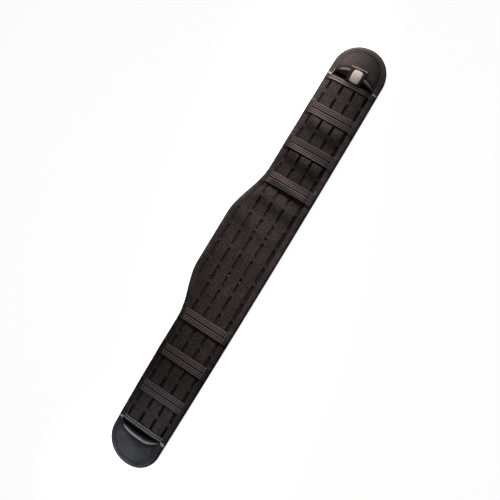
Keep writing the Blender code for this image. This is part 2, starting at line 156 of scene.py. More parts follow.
def apply_modifier(obj: Mesh, kind: str, **settings: object) -> None:
    """Add a modifier with these settings and apply it at once.

    Args:
        obj: The mesh object that it works on.
        kind: Blender's name for the kind of modifier.
        **settings: The modifier's properties.
    """
    pick(obj)
    modifier = obj.modifiers.new(kind.lower(), kind)
    for name, value in settings.items():
        setattr(modifier, name, value)
    bpy.ops.object.modifier_apply(modifier=modifier.name)


def read(items: Sequence, name: str, columns: int = 1, kind: type = float) -> np.ndarray:
    """One property of every vertex, face or corner of a mesh, one row for each."""
    values = np.empty(len(items) * columns, kind)
    items.foreach_get(name, values)
    return values.reshape(-1, columns) if columns > 1 else values


def mesh_points(obj: Mesh) -> Points:
    """The place of each vertex, one row of x, y and z a vertex."""
    return read(obj.data.vertices, "co", 3)


def place_points(obj: Mesh, points: Points) -> None:
    """Move every vertex to its row of points."""
    obj.data.vertices.foreach_set("co", np.ascontiguousarray(points, float).ravel())
    obj.data.update()


def cloth_grid(name: str, columns: int, rows: int, width: float, length: float,
               rows_at: np.ndarray | None = None) -> Mesh:
    """A flat grid of cells with a UV map in metres, for a piece of cloth.

    Args:
        name: The piece's name.
        columns: Cells along u.
        rows: Cells along v.
        width: The cloth's real size along u.
        length: The cloth's real size along v.
        rows_at: The real place of each row along v, where they aren't even.

    Returns:
        The new object, its vertices in rows from low v to high, u running fastest.
    """
    clear_selection()
    bpy.ops.mesh.primitive_grid_add(x_subdivisions=columns, y_subdivisions=rows, size=2.0)
    obj = bpy.context.object
    obj.name = obj.data.name = name
    layer = obj.data.uv_layers[0].data
    uv = read(layer, "uv", 2) * (width, length)
    if rows_at is not None:
        uv[:, 1] = np.interp(uv[:, 1] / length * rows, np.arange(rows + 1), rows_at)
    layer.foreach_set("uv", uv.ravel())
    return obj


def note(obj: Mesh, name: str, values: np.ndarray) -> None:
    """Keep one number for each vertex under a name, for the material to read."""
    layer = obj.data.attributes.new(name, "FLOAT", "POINT")
    layer.data.foreach_set("value", np.ascontiguousarray(values, np.float32).ravel())


def thicken(obj: Mesh, thickness: float) -> None:
    """Give an open sheet its wall, on the side away from its normals."""
    apply_modifier(obj, "SOLIDIFY", thickness=thickness, offset=-1.0)


def shade(obj: Mesh, degrees: float) -> None:
    """Shade an object smooth, apart from edges sharper than an angle."""
    pick(obj)
    bpy.ops.object.shade_smooth_by_angle(angle=math.radians(degrees))


def set_in_place(obj: Mesh, stands_for: Sequence[str] = ()) -> None:
    """Let a finished piece ride on the belt, for the nodes that it replaces.

    Args:
        obj: The finished piece.
        stands_for: The names of the solids that aren't shown any more.
    """
    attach(obj, BODY)
    if stands_for:
        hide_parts(*stands_for)


def dress(piece: Mesh, wall: float, degrees: float, finish: bpy.types.Material, slot: Slot,
          *stands_for: str) -> Mesh:
    """Finish a sheet of cloth.

    Args:
        piece: The open sheet, in its place.
        wall: The cloth's thickness.
        degrees: Edges sharper than this stay sharp.
        finish: Its material.
        slot: The record's material slot; not used.
        *stands_for: The names of the solids that aren't shown any more.

    Returns:
        The same piece, finished.
    """
    thicken(piece, wall)
    shade(piece, degrees)
    piece.data.materials.append(finish)
    set_in_place(piece, stands_for)
    return piece


def run_along(line: Points) -> np.ndarray:
    """The length of a line up to each of its points."""
    return np.concatenate([[0.0], np.cumsum(np.linalg.norm(np.diff(line, axis=0), axis=1))])


def read_at(line: Points, run: np.ndarray, at: np.ndarray) -> Points:
    """A line's points at given lengths along it."""
    return np.column_stack([np.interp(at, run, column) for column in line.T])


def smooth_line(points: Points, count: int) -> Points:
    """A smooth line through points, read at even steps of its length.

    Args:
        points: One row for each point, the first two or three columns its place.
        count: How many points to read.

    Returns:
        count rows with the columns of points.
    """
    table = np.asarray(points, float)
    ends = np.vstack([2 * table[0] - table[1], table, 2 * table[-1] - table[-2]])
    fine = []
    between = 12
    steps = np.linspace(0.0, 1.0, between, endpoint=False)[:, None]
    for k in range(1, len(table)):
        a, b, c, d = ends[k - 1 : k + 3]
        curve = (
            2 * b
            + (c - a) * steps
            + (2 * a - 5 * b + 4 * c - d) * steps**2
            + (3 * b - a - 3 * c + d) * steps**3
        )
        fine.append(curve / 2)
    fine = np.vstack([*fine, table[-1:]])
    run = run_along(fine[:, :2])
    return read_at(fine, run, np.linspace(0.0, run[-1], count))


def ramp(value: np.ndarray) -> np.ndarray:
    """An even S curve from 0 to 1."""
    t = np.clip(value, 0.0, 1.0)
    return t * t * (3.0 - 2.0 * t)


def bell(value: np.ndarray) -> np.ndarray:
    """A bell curve, 1 at 0 and nearly nothing past 2.5."""
    return np.exp(-0.5 * value**2)


def soft_noise(x: np.ndarray, y: np.ndarray, size: float, seed: int) -> np.ndarray:
    """Smooth, unrepeated unevenness between -1 and 1.

    Args:
        x: Place along the belt.
        y: Place across it.
        size: The usual width of one swell.
        seed: Which of the possible patterns.

    Returns:
        One value for each place.
    """
    random = np.random.default_rng(seed)
    total = np.zeros(np.broadcast(x, y).shape)
    waves, usual_peak = 7, 1.4
    for _ in range(waves):
        angle, phase = random.uniform(0, 2 * math.pi, 2)
        reach = size * random.uniform(0.7, 1.6)
        along = x * math.cos(angle) + y * math.sin(angle)
        total += np.sin(2 * math.pi * along / reach + phase)
    return total / waves**0.5 / usual_peak


@dataclass(frozen=True)
class Flare:
    """Where the upper edge rises from an arm to the lumbar."""

    arm_y: float
    arm_x: float
    lumbar_x: float
    taper: float


@dataclass(frozen=True)
class RoundEnd:
    """Two quarter curves that meet at an apex, and where the hood's corners are."""

    apex_y: float
    top_run: float
    bottom_run: float
    hood_x: float


@dataclass(frozen=True)
class Wave:
    """One low wave of the loosely laid panel."""

    centre_x: float
    reach: float
    height: float


@dataclass
class BeltForm:
    """The lie of the belt: its outline from above and the height of each layer."""

    half_length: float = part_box("edge_binding")[1].x
    lumbar_y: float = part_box("edge_binding")[1].y
    bottom_y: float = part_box("edge_binding")[0].y
    bottom_bow: float = 3.3 * MM
    roundness: float = 2.05
    left_flare: Flare = Flare(arm_y=0.0435, arm_x=-0.1648, lumbar_x=-0.0577, taper=0.003)
    right_flare: Flare = Flare(arm_y=0.0414, arm_x=0.1647, lumbar_x=0.0510, taper=0.0)
    taper_start_x: float = 0.200
    taper_run: float = 0.200
    left_end: RoundEnd = RoundEnd(-0.0170, top_run=0.0524, bottom_run=0.0417, hood_x=0.3797)
    right_end: RoundEnd = RoundEnd(-0.0103, top_run=0.0501, bottom_run=0.0566, hood_x=0.3752)
    draw_in: float = 3.8 * MM
    draw_start_x: float = 0.060
    draw_full_x: float = 0.160
    flange_depth: float = 10.5 * MM
    middle_depth: float = 20.5 * MM
    flange_top: float = 6.0 * MM
    pad_rise: float = 2.8 * MM
    end_fall_start: float = 9.0 * MM
    end_fall: float = 34.0 * MM
    end_fall_x: float = 0.392
    end_blend: float = 0.02
    panel_crown: tuple[float, float] = (8.0 * MM, 18.5 * MM)
    panel_edge_top: float = 9.3 * MM
    panel_rise: float = 1.8 * MM
    panel_depths: tuple[float, float] = (9.5 * MM, 26.0 * MM)
    panel_uneven: float = 0.16 * MM
    end_lift: float = 1.9 * MM
    lift_start_x: float = 0.320
    lift_full_x: float = 0.362
    wave_slant: float = 0.16
    waves: tuple[Wave, ...] = (
        Wave(centre_x=0.053, reach=0.025, height=0.0013),
        Wave(centre_x=0.111, reach=0.024, height=0.0025),
        Wave(centre_x=0.1465, reach=0.015, height=0.0015),
        Wave(centre_x=0.203, reach=0.024, height=0.0034),
        Wave(centre_x=0.275, reach=0.024, height=0.0036),
    )
    stations_count: int = 1600
    quarter_points: int = 90
    low_points: int = 500
    high_points: int = 900
    line: Points = field(init=False)
    outwards: Points = field(init=False)

    def __post_init__(self) -> None:
        """Work out the outline once."""
        self.line, self.outwards, _ = self.stations(self.stations_count)

    def top_y(self, x: np.ndarray) -> np.ndarray:
        """Upper edge of the outline between the round ends."""
        x = np.asarray(x, float)
        past = np.maximum(0.0, np.abs(x) - self.taper_start_x) / self.taper_run
        heights = []
        for flare in (self.left_flare, self.right_flare):
            rise = ramp((x - flare.arm_x) / (flare.lumbar_x - flare.arm_x))
            height = flare.arm_y + (self.lumbar_y - flare.arm_y) * rise
            heights.append(height - flare.taper * past**2)
        return np.where(x < 0, *heights)

    def low_y(self, x: np.ndarray) -> np.ndarray:
        """Lower edge of the outline between the round ends."""
        return self.bottom_y + self.bottom_bow * (np.asarray(x, float) / self.half_length) ** 2

    def end(self, side: Side) -> RoundEnd:
        """The round end on one side."""
        return self.left_end if side is Side.LEFT else self.right_end

    def drawn_x(self, x: np.ndarray) -> np.ndarray:
        """Place on the panel after its waves have drawn its right half in."""
        span = self.draw_full_x - self.draw_start_x
        return x - self.draw_in * ramp((np.asarray(x, float) - self.draw_start_x) / span)

    def quarter(self, side: Side, top: bool) -> Points:
        """Points of a quarter curve of a round end, from its start to the apex.

        Args:
            side: Which end of the belt.
            top: True for the upper quarter.

        Returns:
            One row of x and y a point.
        """
        end = self.end(side)
        reach = end.top_run if top else end.bottom_run
        start_x = side.value * (self.half_length - reach)
        start_y = float(self.top_y(start_x) if top else self.low_y(start_x))
        angle = np.linspace(0.0, math.pi / 2, self.quarter_points)
        power = 2.0 / self.roundness
        along = np.sin(angle) ** power
        across = np.clip(np.cos(angle), 0.0, 1.0) ** power
        y = end.apex_y + (start_y - end.apex_y) * across
        return np.column_stack([start_x + side.value * reach * along, y])

    def stations(self, count: int) -> tuple[Points, Points, np.ndarray]:
        """The outline at even steps, anticlockwise from above.

        Args:
            count: How many steps.

        Returns:
            The points, the outward direction at each, and the length along the outline.
        """
        corners = [self.quarter(side, top) for side in Side for top in (False, True)]
        left_low, left_high, right_low, right_high = corners
        low_x = np.linspace(left_low[0, 0], right_low[0, 0], self.low_points)
        high_x = np.linspace(right_high[0, 0], left_high[0, 0], self.high_points)
        ring = np.vstack(
            [
                np.column_stack([low_x, self.low_y(low_x)])[:-1],
                right_low[:-1],
                right_high[:0:-1],
                np.column_stack([high_x, self.top_y(high_x)])[:-1],
                left_high[:-1],
                left_low[::-1],
            ]
        )
        run = run_along(ring)
        at = np.arange(count) / count * run[-1]
        line = read_at(ring, run, at)
        ahead = np.roll(line, -2, axis=0) - np.roll(line, 2, axis=0)
        ahead /= np.linalg.norm(ahead, axis=1)[:, None]
        return line, np.column_stack([ahead[:, 1], -ahead[:, 0]]), at

    def nearest(self, x: np.ndarray, y: np.ndarray) -> tuple[np.ndarray, np.ndarray]:
        """How deep each place lies inside the outline, and the nearest station.

        Args:
            x: Place along the belt.
            y: Place across it.

        Returns:
            Distances, below 0 outside the outline, and indices into line.
        """
        places = np.column_stack([np.ravel(x), np.ravel(y)])
        depth = np.empty(len(places))
        index = np.empty(len(places), int)
        chunk = 3000
        for start in range(0, len(places), chunk):
            part = places[start : start + chunk]
            away = ((part[:, None, :] - self.line[None]) ** 2).sum(axis=2)
            best = away.argmin(axis=1)
            inwards = self.line[best] - part
            depth[start : start + chunk] = (inwards * self.outwards[best]).sum(axis=1)
            index[start : start + chunk] = best
        shape = np.shape(x)
        return depth.reshape(shape), index.reshape(shape)

    def crown(self, x: np.ndarray, y: np.ndarray) -> np.ndarray:
        """0 over the flange and 1 over the padded middle."""
        depth, _ = self.nearest(x, y)
        return ramp((depth - self.flange_depth) / (self.middle_depth - self.flange_depth))

    def pad_top(self, x: np.ndarray, y: np.ndarray) -> np.ndarray:
        """Height of the pad's upper side, which falls gently towards the round ends."""
        depth, _ = self.nearest(x, y)
        gentle = np.clip((depth - self.end_fall_start) / self.end_fall, 0.0, 1.0)
        share = ramp((np.abs(x) - self.end_fall_x) / self.end_blend)
        crown = self.crown(x, y)
        rise = crown + (np.minimum(crown, gentle) - crown) * share
        return self.flange_top + self.pad_rise * rise

    def wave_height(self, x: np.ndarray, y: np.ndarray) -> np.ndarray:
        """Extra height of the loosely laid panel."""
        height = np.zeros(np.broadcast(x, y).shape)
        for wave in self.waves:
            away = np.clip(np.abs(x - self.wave_slant * y - wave.centre_x) / wave.reach, 0, 1)
            height += wave.height * (1.0 + np.cos(math.pi * away)) / 2
        return height

    def panel_top(self, x: np.ndarray, y: np.ndarray) -> np.ndarray:
        """Height of the face panel's upper side."""
        over = (np.abs(x) - self.lift_start_x) / (self.lift_full_x - self.lift_start_x)
        uneven = self.panel_uneven * soft_noise(x, y, 0.055, seed=3)
        depth, _ = self.nearest(x, y)
        spans = (self.panel_depths, self.panel_crown)
        inner, crown = (ramp((depth - near) / (far - near)) for near, far in spans)
        loose = self.wave_height(x, y) + self.end_lift * ramp(over) + uneven
        return self.panel_edge_top + crown * self.panel_rise + inner * loose

    def panel_height(self, x: float, y: float) -> float:
        """Height of the face panel's upper side at one place."""
        return float(self.panel_top(np.array([x]), np.array([y]))[0])


@dataclass(frozen=True)
class Value:
    """A result in a material's nodes, for sums that are written as on numbers."""

    graph: "Graph"
    socket: bpy.types.NodeSocket

    def __add__(self, other: "Number") -> "Value":
        """This plus another."""
        return self.graph.maths("ADD", self, other)

    def __sub__(self, other: "Number") -> "Value":
        """This less another."""
        return self.graph.maths("SUBTRACT", self, other)

    def __rsub__(self, other: float) -> "Value":
        """A number less this."""
        return self.graph.maths("SUBTRACT", other, self)

    def __mul__(self, other: "Number") -> "Value":
        """This times another."""
        return self.graph.maths("MULTIPLY", self, other)

    def __truediv__(self, other: float) -> "Value":
        """This over a number."""
        return self.graph.maths("DIVIDE", self, other)

    def __abs__(self) -> "Value":
        """This without its sign."""
        return self.graph.maths("ABSOLUTE", self)

    def to_one(self, full: float = 1.0) -> "Value":
        """This as a share of full, never above 1."""
        whole = self if full == 1.0 else self / full
        return self.graph.maths("MINIMUM", whole, 1.0)

    def share(self, start: float, full: float) -> "Value":
        """How far this has come from start to full, kept from 0 to 1."""
        return self.graph.maths("MAXIMUM", ((self - start) / (full - start)).to_one(), 0.0)

    def spread(self, low: float, high: float) -> "Value":
        """This from 0 to 1, stretched to run from low to high."""
        return self * (high - low) + low

    def ripple(self, pitch: float, shift: "Number" = 0.0) -> "Value":
        """An even wave from -1 to 1 along this coordinate, moved by an angle."""
        return self.graph.maths("SINE", self * (2 * math.pi / pitch) + shift)


Number = Value | float
Colour = tuple[float, float, float]


class Graph:
    """The nodes of one material, added and joined in few words."""

    def __init__(self, name: str) -> None:
        """Start a material with its usual shader."""
        self.material = bpy.data.materials.new(name)
        self.material.use_nodes = True
        self.tree = self.material.node_tree
        self.shader = self.tree.nodes["Principled BSDF"]

    def add(self, kind: str, feeds: dict | None = None, **settings: object) -> bpy.types.Node:
        """Add a node.

        Args:
            kind: Blender's name for the kind of node.
            feeds: A result, number or colour for each input, by name or place.
            **settings: The node's properties.

        Returns:
            The new node.
        """
        node = self.tree.nodes.new(kind)
        for name, value in settings.items():
            setattr(node, name, value)
        for key, value in (feeds or {}).items():
            self.feed(node, key, value)
        return node

    def feed(self, node: bpy.types.Node, key: str | int, value: object) -> None:
        """Join a result to an input, or set the input to a plain value."""
        if isinstance(value, Value):
            self.tree.links.new(value.socket, node.inputs[key])
        else:
            node.inputs[key].default_value = value

    def result(self, node: bpy.types.Node, key: str | int = 0) -> Value:
        """One output of a node."""
        return Value(self, node.outputs[key])

    def maths(self, operation: str, first: Number, second: Number = 0.0) -> Value:
        """The result of one sum."""
        return self.result(self.add("ShaderNodeMath", {0: first, 1: second}, operation=operation))

    def coordinates(self, kind: str) -> tuple[Value, Value, Value]:
        """Places on the piece, whole and as their first two parts.

        Args:
            kind: "Object" for x and y along and across the belt, "UV" for u and v on the
                cut cloth, all in metres.

        Returns:
            The whole place and its two parts.
        """
        whole = self.result(self.add("ShaderNodeTexCoord"), kind)
        parts = self.add("ShaderNodeSeparateXYZ", {0: whole})
        return whole, self.result(parts, 0), self.result(parts, 1)

    def cloud(self, place: Value, size: float, stretch: Sequence[float] = (1, 1, 1),
              turn: float = 0.0, detail: float = 2.0) -> Value:
        """Random patches from 0 to 1.

        Args:
            place: The whole coordinate.
            size: The usual width of one patch.
            stretch: How many times longer a patch is along each axis.
            turn: The angle of the patches about Z, in degrees.
            detail: How much finer unevenness is added.

        Returns:
            The patches.
        """
        turned = (0.0, 0.0, math.radians(turn))
        feeds = {"Vector": place, "Rotation": turned, "Scale": [size * s for s in stretch]}
        mapping = self.add("ShaderNodeMapping", feeds, vector_type="TEXTURE")
        feeds = {"Vector": self.result(mapping), "Scale": 1.0, "Detail": detail, "Roughness": 0.55}
        return self.result(self.add("ShaderNodeTexNoise", feeds), "Fac")

    def attribute(self, name: str) -> Value:
        """The number that the piece keeps at each vertex under a name."""
        return self.result(self.add("ShaderNodeAttribute", attribute_name=name), "Fac")

    def blend(self, share: Value, low: Value | Colour, high: Value | Colour) -> Value:
        """A colour between two colours, by a share from 0 to 1."""
        ends = [end if isinstance(end, Value) else (*end, 1.0) for end in (low, high)]
        feeds = {"Factor": share, 6: ends[0], 7: ends[1]}
        return self.result(self.add("ShaderNodeMix", feeds, data_type="RGBA"), 2)

    def scaled(self, colour: Value, amount: Value) -> Value:
        """A colour made lighter or darker by a number."""
        parts = self.add("ShaderNodeVectorMath", {0: colour}, operation="SCALE")
        self.feed(parts, "Scale", amount)
        return self.result(parts)

    def relief(self, height: Value, depth: float, under: Value | None = None) -> Value:
        """A surface direction pressed from heights of 0 to 1.

        Args:
            height: The heights.
            depth: How deep 1 is, in metres.
            under: A direction that this relief lies on.

        Returns:
            The direction.
        """
        feeds = {"Height": height, "Distance": depth, "Strength": 1.0}
        if under:
            feeds["Normal"] = under
        return self.result(self.add("ShaderNodeBump", feeds))

    def finish(self, cloth: "Cloth", colour: Value, relief: Value) -> bpy.types.Material:
        """Join the colour and the relief to the shader and set its plain values.

        Args:
            cloth: The finish, for its roughness and gloss.
            colour: The base colour.
            relief: The surface direction.

        Returns:
            The finished material.
        """
        feeds = {"Base Color": colour, "Normal": relief, "Roughness": cloth.roughness,
                 "Specular IOR Level": cloth.gloss}
        for key, value in feeds.items():
            self.feed(self.shader, key, value)
        return self.material


@dataclass(frozen=True, kw_only=True)
class Cloth:
    """What every finish has.

    dark and light are its colours, fuzz the size of its fine unevenness and depth that of
    its relief.
    """

    dark: Colour
    light: Colour
    fuzz: float = 1.8 * MM
    depth: float = 0.05 * MM
    roughness: float = 0.6
    gloss: float = 0.12


@dataclass(frozen=True, kw_only=True)
class PanelCloth(Cloth):
    """The stiff laser-cut outer cloth: slanting warm and cool streaks, painted shade round its
    slots.
    """

    dark: Colour = (0.0080, 0.0070, 0.0068)
    light: Colour = (0.0520, 0.0430, 0.0390)
    cool: Colour = (0.0370, 0.0370, 0.0400)
    # The colour of the painted shade round the slots.
    cut: Colour = (0.0025, 0.0023, 0.0023)
    thread_pitch: float = 1.1 * MM
    streak: float = 1.35 * MM
    streak_angle: float = -27.0
    patch: float = 34.0 * MM
    fold_depth: float = 0.25 * MM
    roughness: float = 0.7
    gloss: float = 0.10

    def make(self) -> bpy.types.Material:
        """The material."""
        graph = Graph(Slot.PANEL.value)
        place, x, y = graph.coordinates("Object")
        weave = (x.ripple(self.thread_pitch) * y.ripple(self.thread_pitch)).spread(0.5, 1.0)
        streaks = graph.cloud(place, self.streak, (3.0, 1.0, 1.0), self.streak_angle, 3.0)
        hues = graph.cloud(place, 2 * self.streak, (2.0, 1.0, 1.0), self.streak_angle, 1.0)
        patches = graph.cloud(place, self.patch, detail=1.0)
        tone = streaks.spread(-0.9, 1.8) + patches.spread(-0.3, 0.3)
        light = graph.blend(hues.spread(-0.9, 1.9), self.cool, self.light)
        colour = graph.blend(tone, self.dark, light)
        # Painted shade round the slots.
        colour = graph.blend(graph.attribute("slot_edge_shade"), colour, self.cut)
        folds = graph.relief(streaks, self.fold_depth)
        return graph.finish(self, colour, graph.relief(weave, self.depth, folds))


@dataclass(frozen=True, kw_only=True)
class WebbingCloth(Cloth):
    """Nylon webbing with ribs along it, rows of dark spots between them, and painted shade in its
    middle groove and at its edges.
    """

    name: str
    width: float
    first_rib: float
    rib_pitch: float
    spot_pitch: float = 5.35 * MM
    # Widths of the painted shade in the middle groove and at the edges.
    line_width: float = 1.0 * MM
    edge_shade_width: float = 1.1 * MM
    fuzz: float = 1.9 * MM
    depth: float = 0.12 * MM
    # How much lighter the painted light makes the webbing where x lies below 0.10.
    pale: float = 1.35
    # How dark the painted shadow makes the lower part, from y = 0.008 down to y = -0.013.
    lower_shade: float = 1.0

    def make(self) -> bpy.types.Material:
        """The material."""
        graph = Graph(self.name)
        place, x, y = graph.coordinates("Object")
        _, u, v = graph.coordinates("UV")
        middle = abs(u - self.width / 2)
        rib = (middle - self.first_rib).ripple(self.rib_pitch, math.pi / 2).spread(0.5, 1.0)
        spot = v.ripple(self.spot_pitch).spread(0.5, 1.0)
        fine = v.ripple(self.spot_pitch / 3).spread(0.5, 1.0)
        bars = spot.spread(0.48, 0.86) + fine.spread(0.0, 0.10)
        tone = rib * bars + graph.cloud(place, self.fuzz, detail=3.0).spread(-0.42, 0.42)
        colour = graph.blend(tone, self.dark, self.light)
        # Painted shade in the middle groove and along the edges.
        line = middle.to_one(self.line_width)
        edge = (self.width / 2 - middle).to_one(self.edge_shade_width)
        colour = graph.scaled(colour, line.spread(0.15, 1.0) * edge.spread(0.08, 1.0))
        # Painted light: lighter where x lies below 0.10, fading out by x = 0.20.
        colour = graph.scaled(colour, x.share(0.20, 0.10).spread(1.0, self.pale))
        # Painted shadow on the lower part, darker from y = 0.008 down to y = -0.013.
        colour = graph.scaled(colour, y.share(0.008, -0.013).spread(1.0, self.lower_shade))
        height = fine.spread(0.5, 1.0) * rib.spread(0.3, 1.0)
        return graph.finish(self, colour, graph.relief(height, self.depth))


@dataclass(frozen=True, kw_only=True)
class BindingCloth(Cloth):
    """Folded grosgrain tape, ribbed across, with a painted highlight along its inner edge inside
    its dark seam.

    left_shade is the painted shade on the left arm, flank and far_end_light the painted light on
    the right flank of the lumbar and round the right end. tilt is the painted fall of light across
    the right arm.
    """

    dark: Colour = (0.0060, 0.0050, 0.0066)
    light: Colour = (0.0900, 0.0755, 0.0850)
    left_shade: float = 0.52
    tilt: tuple[float, float] = (-0.18, 0.42)
    flank_light: float = 0.5
    far_end_light: float = 1.6
    rib_pitch: float = 3.6 * MM
    ridge_pitch: float = 2.5 * MM
    seam_at: float = 2.5 * MM
    seam_width: float = 0.9 * MM
    # Width of the painted highlight along the inner edge.
    edge_highlight: float = 1.3 * MM
    patch: float = 24.0 * MM
    depth: float = 0.14 * MM

    def make(self) -> bpy.types.Material:
        """The material."""
        graph = Graph(Slot.BINDING.value)
        place, x, y = graph.coordinates("Object")
        _, u, v = graph.coordinates("UV")
        fine = u.ripple(self.rib_pitch / 2)
        rib = u.ripple(self.rib_pitch).spread(0.5, 0.82) + fine.spread(0.0, 0.18)
        fuzz = graph.cloud(place, self.fuzz, detail=3.0)
        patches = graph.cloud(place, self.patch, detail=1.0)
        ridged = x.share(0.02, 0.16).spread(0.06, 0.22) + x.share(0.37, 0.40).spread(0.0, 0.35)
        tone = rib.spread(-0.12, 0.42) + fuzz.spread(-0.45, 0.85) + patches.spread(-0.30, 0.30)
        tone = tone + v.ripple(self.ridge_pitch) * ridged
        left_arm_shade = x.share(-0.10, -0.17) * (1.0 - x.share(-0.385, -0.43))
        right_arm_light = x.share(0.12, 0.16) * y.share(0.03, -0.05).spread(*self.tilt)
        flank_light = x.share(0.055, 0.085) * x.share(0.145, 0.12) * y.share(0.03, 0.045)
        # Painted shade on the left arm, a painted fall of light across the right arm, painted
        # light on the right flank and round the right end, the dark seam, and a painted highlight
        # along the inner edge.
        lights = (
            left_arm_shade.spread(1.0, self.left_shade),
            right_arm_light + flank_light * self.flank_light + 1.0,
            x.share(0.395, 0.430).spread(1.0, self.far_end_light),
            abs(v - self.seam_at).to_one(self.seam_width).spread(0.35, 1.0),
            v.to_one(self.edge_highlight).spread(1.75, 1.0),
        )
        colour = graph.blend(tone, self.dark, self.light)
        for light in lights:
            colour = graph.scaled(colour, light)
        return graph.finish(self, colour, graph.relief(rib, self.depth))


@dataclass(frozen=True, kw_only=True)
class HoodCloth(Cloth):
    """Smooth close cloth with fine ribs along the belt, a painted highlight on the lip's crest and
    painted shade in its creases.
    """

    dark: Colour = (0.0100, 0.0095, 0.0098)
    light: Colour = (0.0500, 0.0480, 0.0480)
    # The painted highlight on the lip's crest, and the painted shade in its creases and beside the
    # binding.
    painted_highlight: Colour = (0.1900, 0.1880, 0.1930)
    painted_shade: Colour = (0.0060, 0.0058, 0.0062)
    rib_pitch: float = 2.4 * MM
    thread_pitch: float = 1.2 * MM
    patch: float = 22.0 * MM
    depth: float = 0.16 * MM
    thread_depth: float = 0.03 * MM
    gloss: float = 0.08

    def make(self) -> bpy.types.Material:
        """The material."""
        graph = Graph(Slot.HOOD.value)
        place, x, y = graph.coordinates("Object")
        patches = graph.cloud(place, self.patch, detail=1.0)
        wobble = patches.spread(-1.2, 1.2)
        wide = y.ripple(2 * self.rib_pitch, wobble)
        rib = y.ripple(self.rib_pitch, wobble).spread(0.5, 0.72) + wide.spread(0.0, 0.28)
        thread = x.ripple(self.thread_pitch).spread(0.5, 1.0)
        fuzz = graph.cloud(place, self.fuzz, (2.2, 1.0, 1.0), detail=3.0)
        tone = rib.spread(-0.12, 0.62) + fuzz.spread(-0.3, 0.6) + patches.spread(-0.22, 0.32)
        colour = graph.blend(tone, self.dark, self.light)
        # Painted highlight on the crest, painted shade in the creases and beside the binding.
        colour = graph.blend(graph.attribute("painted_highlight"), colour, self.painted_highlight)
        colour = graph.blend(graph.attribute("painted_shade"), colour, self.painted_shade)
        ribs = graph.relief(rib, self.depth)
        return graph.finish(self, colour, graph.relief(thread, self.thread_depth, ribs))


@dataclass(frozen=True, kw_only=True)
class PadCloth(Cloth):
    """Spacer mesh over foam, with painted light where it shows in the slots, lighter where pressed
    up to the panel.
    """

    dark: Colour = (0.0050, 0.0044, 0.0043)
    light: Colour = (0.0220, 0.0186, 0.0196)
    cell: float = 2.4 * MM
    depth: float = 0.35 * MM
    roughness: float = 0.85
    gloss: float = 0.08

    def make(self) -> bpy.types.Material:
        """The material."""
        graph = Graph(Slot.PAD.value)
        place, _, _ = graph.coordinates("Object")
        feeds = {"Vector": place, "Scale": 1.0 / self.cell, "Randomness": 0.25}
        holes = graph.result(graph.add("ShaderNodeTexVoronoi", feeds), "Distance")
        rim = (holes * 1.9).to_one()
        # Painted light in the slots: the lit colour where the pad is pressed up, the shaded one
        # where it lies deep.
        colour = graph.blend(graph.attribute("slot_light"), self.dark, self.light)
        colour = graph.scaled(colour, rim.spread(0.25, 1.35))
        return graph.finish(self, colour, graph.relief(rim, self.depth))


@dataclass(frozen=True, kw_only=True)
class LabelCloth(Cloth):
    """Black woven tab."""

    dark: Colour = (0.0042, 0.0042, 0.0048)
    light: Colour = (0.0110, 0.0108, 0.0118)
    thread_pitch: float = 0.9 * MM
    fuzz: float = 2.0 * MM
    depth: float = 0.06 * MM
    roughness: float = 0.72
    gloss: float = 0.10

    def make(self) -> bpy.types.Material:
        """The material."""
        graph = Graph(Slot.LABEL.value)
        place, x, y = graph.coordinates("Object")
        weave = (x.ripple(self.thread_pitch) * y.ripple(self.thread_pitch)).spread(0.5, 1.0)
        colour = graph.blend(graph.cloud(place, self.fuzz, detail=3.0), self.dark, self.light)
        return graph.finish(self, colour, graph.relief(weave, self.depth))


@dataclass(frozen=True, kw_only=True)
class Thread(Cloth):
    """Twisted sewing thread."""

    name: str
    twist_pitch: float = 0.5 * MM
    fuzz: float = 0.9 * MM
    depth: float = 0.04 * MM
    roughness: float = 0.55
    gloss: float = 0.2

    def make(self) -> bpy.types.Material:
        """The material."""
        graph = Graph(self.name)
        place, x, y = graph.coordinates("Object")
        colour = graph.blend(graph.cloud(place, self.fuzz), self.dark, self.light)
        twist = (x + y).ripple(self.twist_pitch).spread(0.5, 1.0)
        return graph.finish(self, colour, graph.relief(twist, self.depth))


@dataclass(frozen=True, kw_only=True)
class PatchCloth(Cloth):
    """Pale satin stitching on the plain patch."""

    dark: Colour = (0.17, 0.165, 0.16)
    light: Colour = (0.46, 0.45, 0.44)
    thread_pitch: float = 0.55 * MM
    fuzz: float = 1.2 * MM
    depth: float = 0.08 * MM
    roughness: float = 0.45
    gloss: float = 0.3

    def make(self) -> bpy.types.Material:
        """The material."""
        graph = Graph("patch_satin")
        place, x, _ = graph.coordinates("Object")
        fuzz = graph.cloud(place, self.fuzz, (1.0, 5.0, 1.0))
        thread = x.ripple(self.thread_pitch).spread(0.5, 1.0)
        colour = graph.blend(fuzz, self.dark, self.light)
        return graph.finish(self, colour, graph.relief(thread, self.depth))


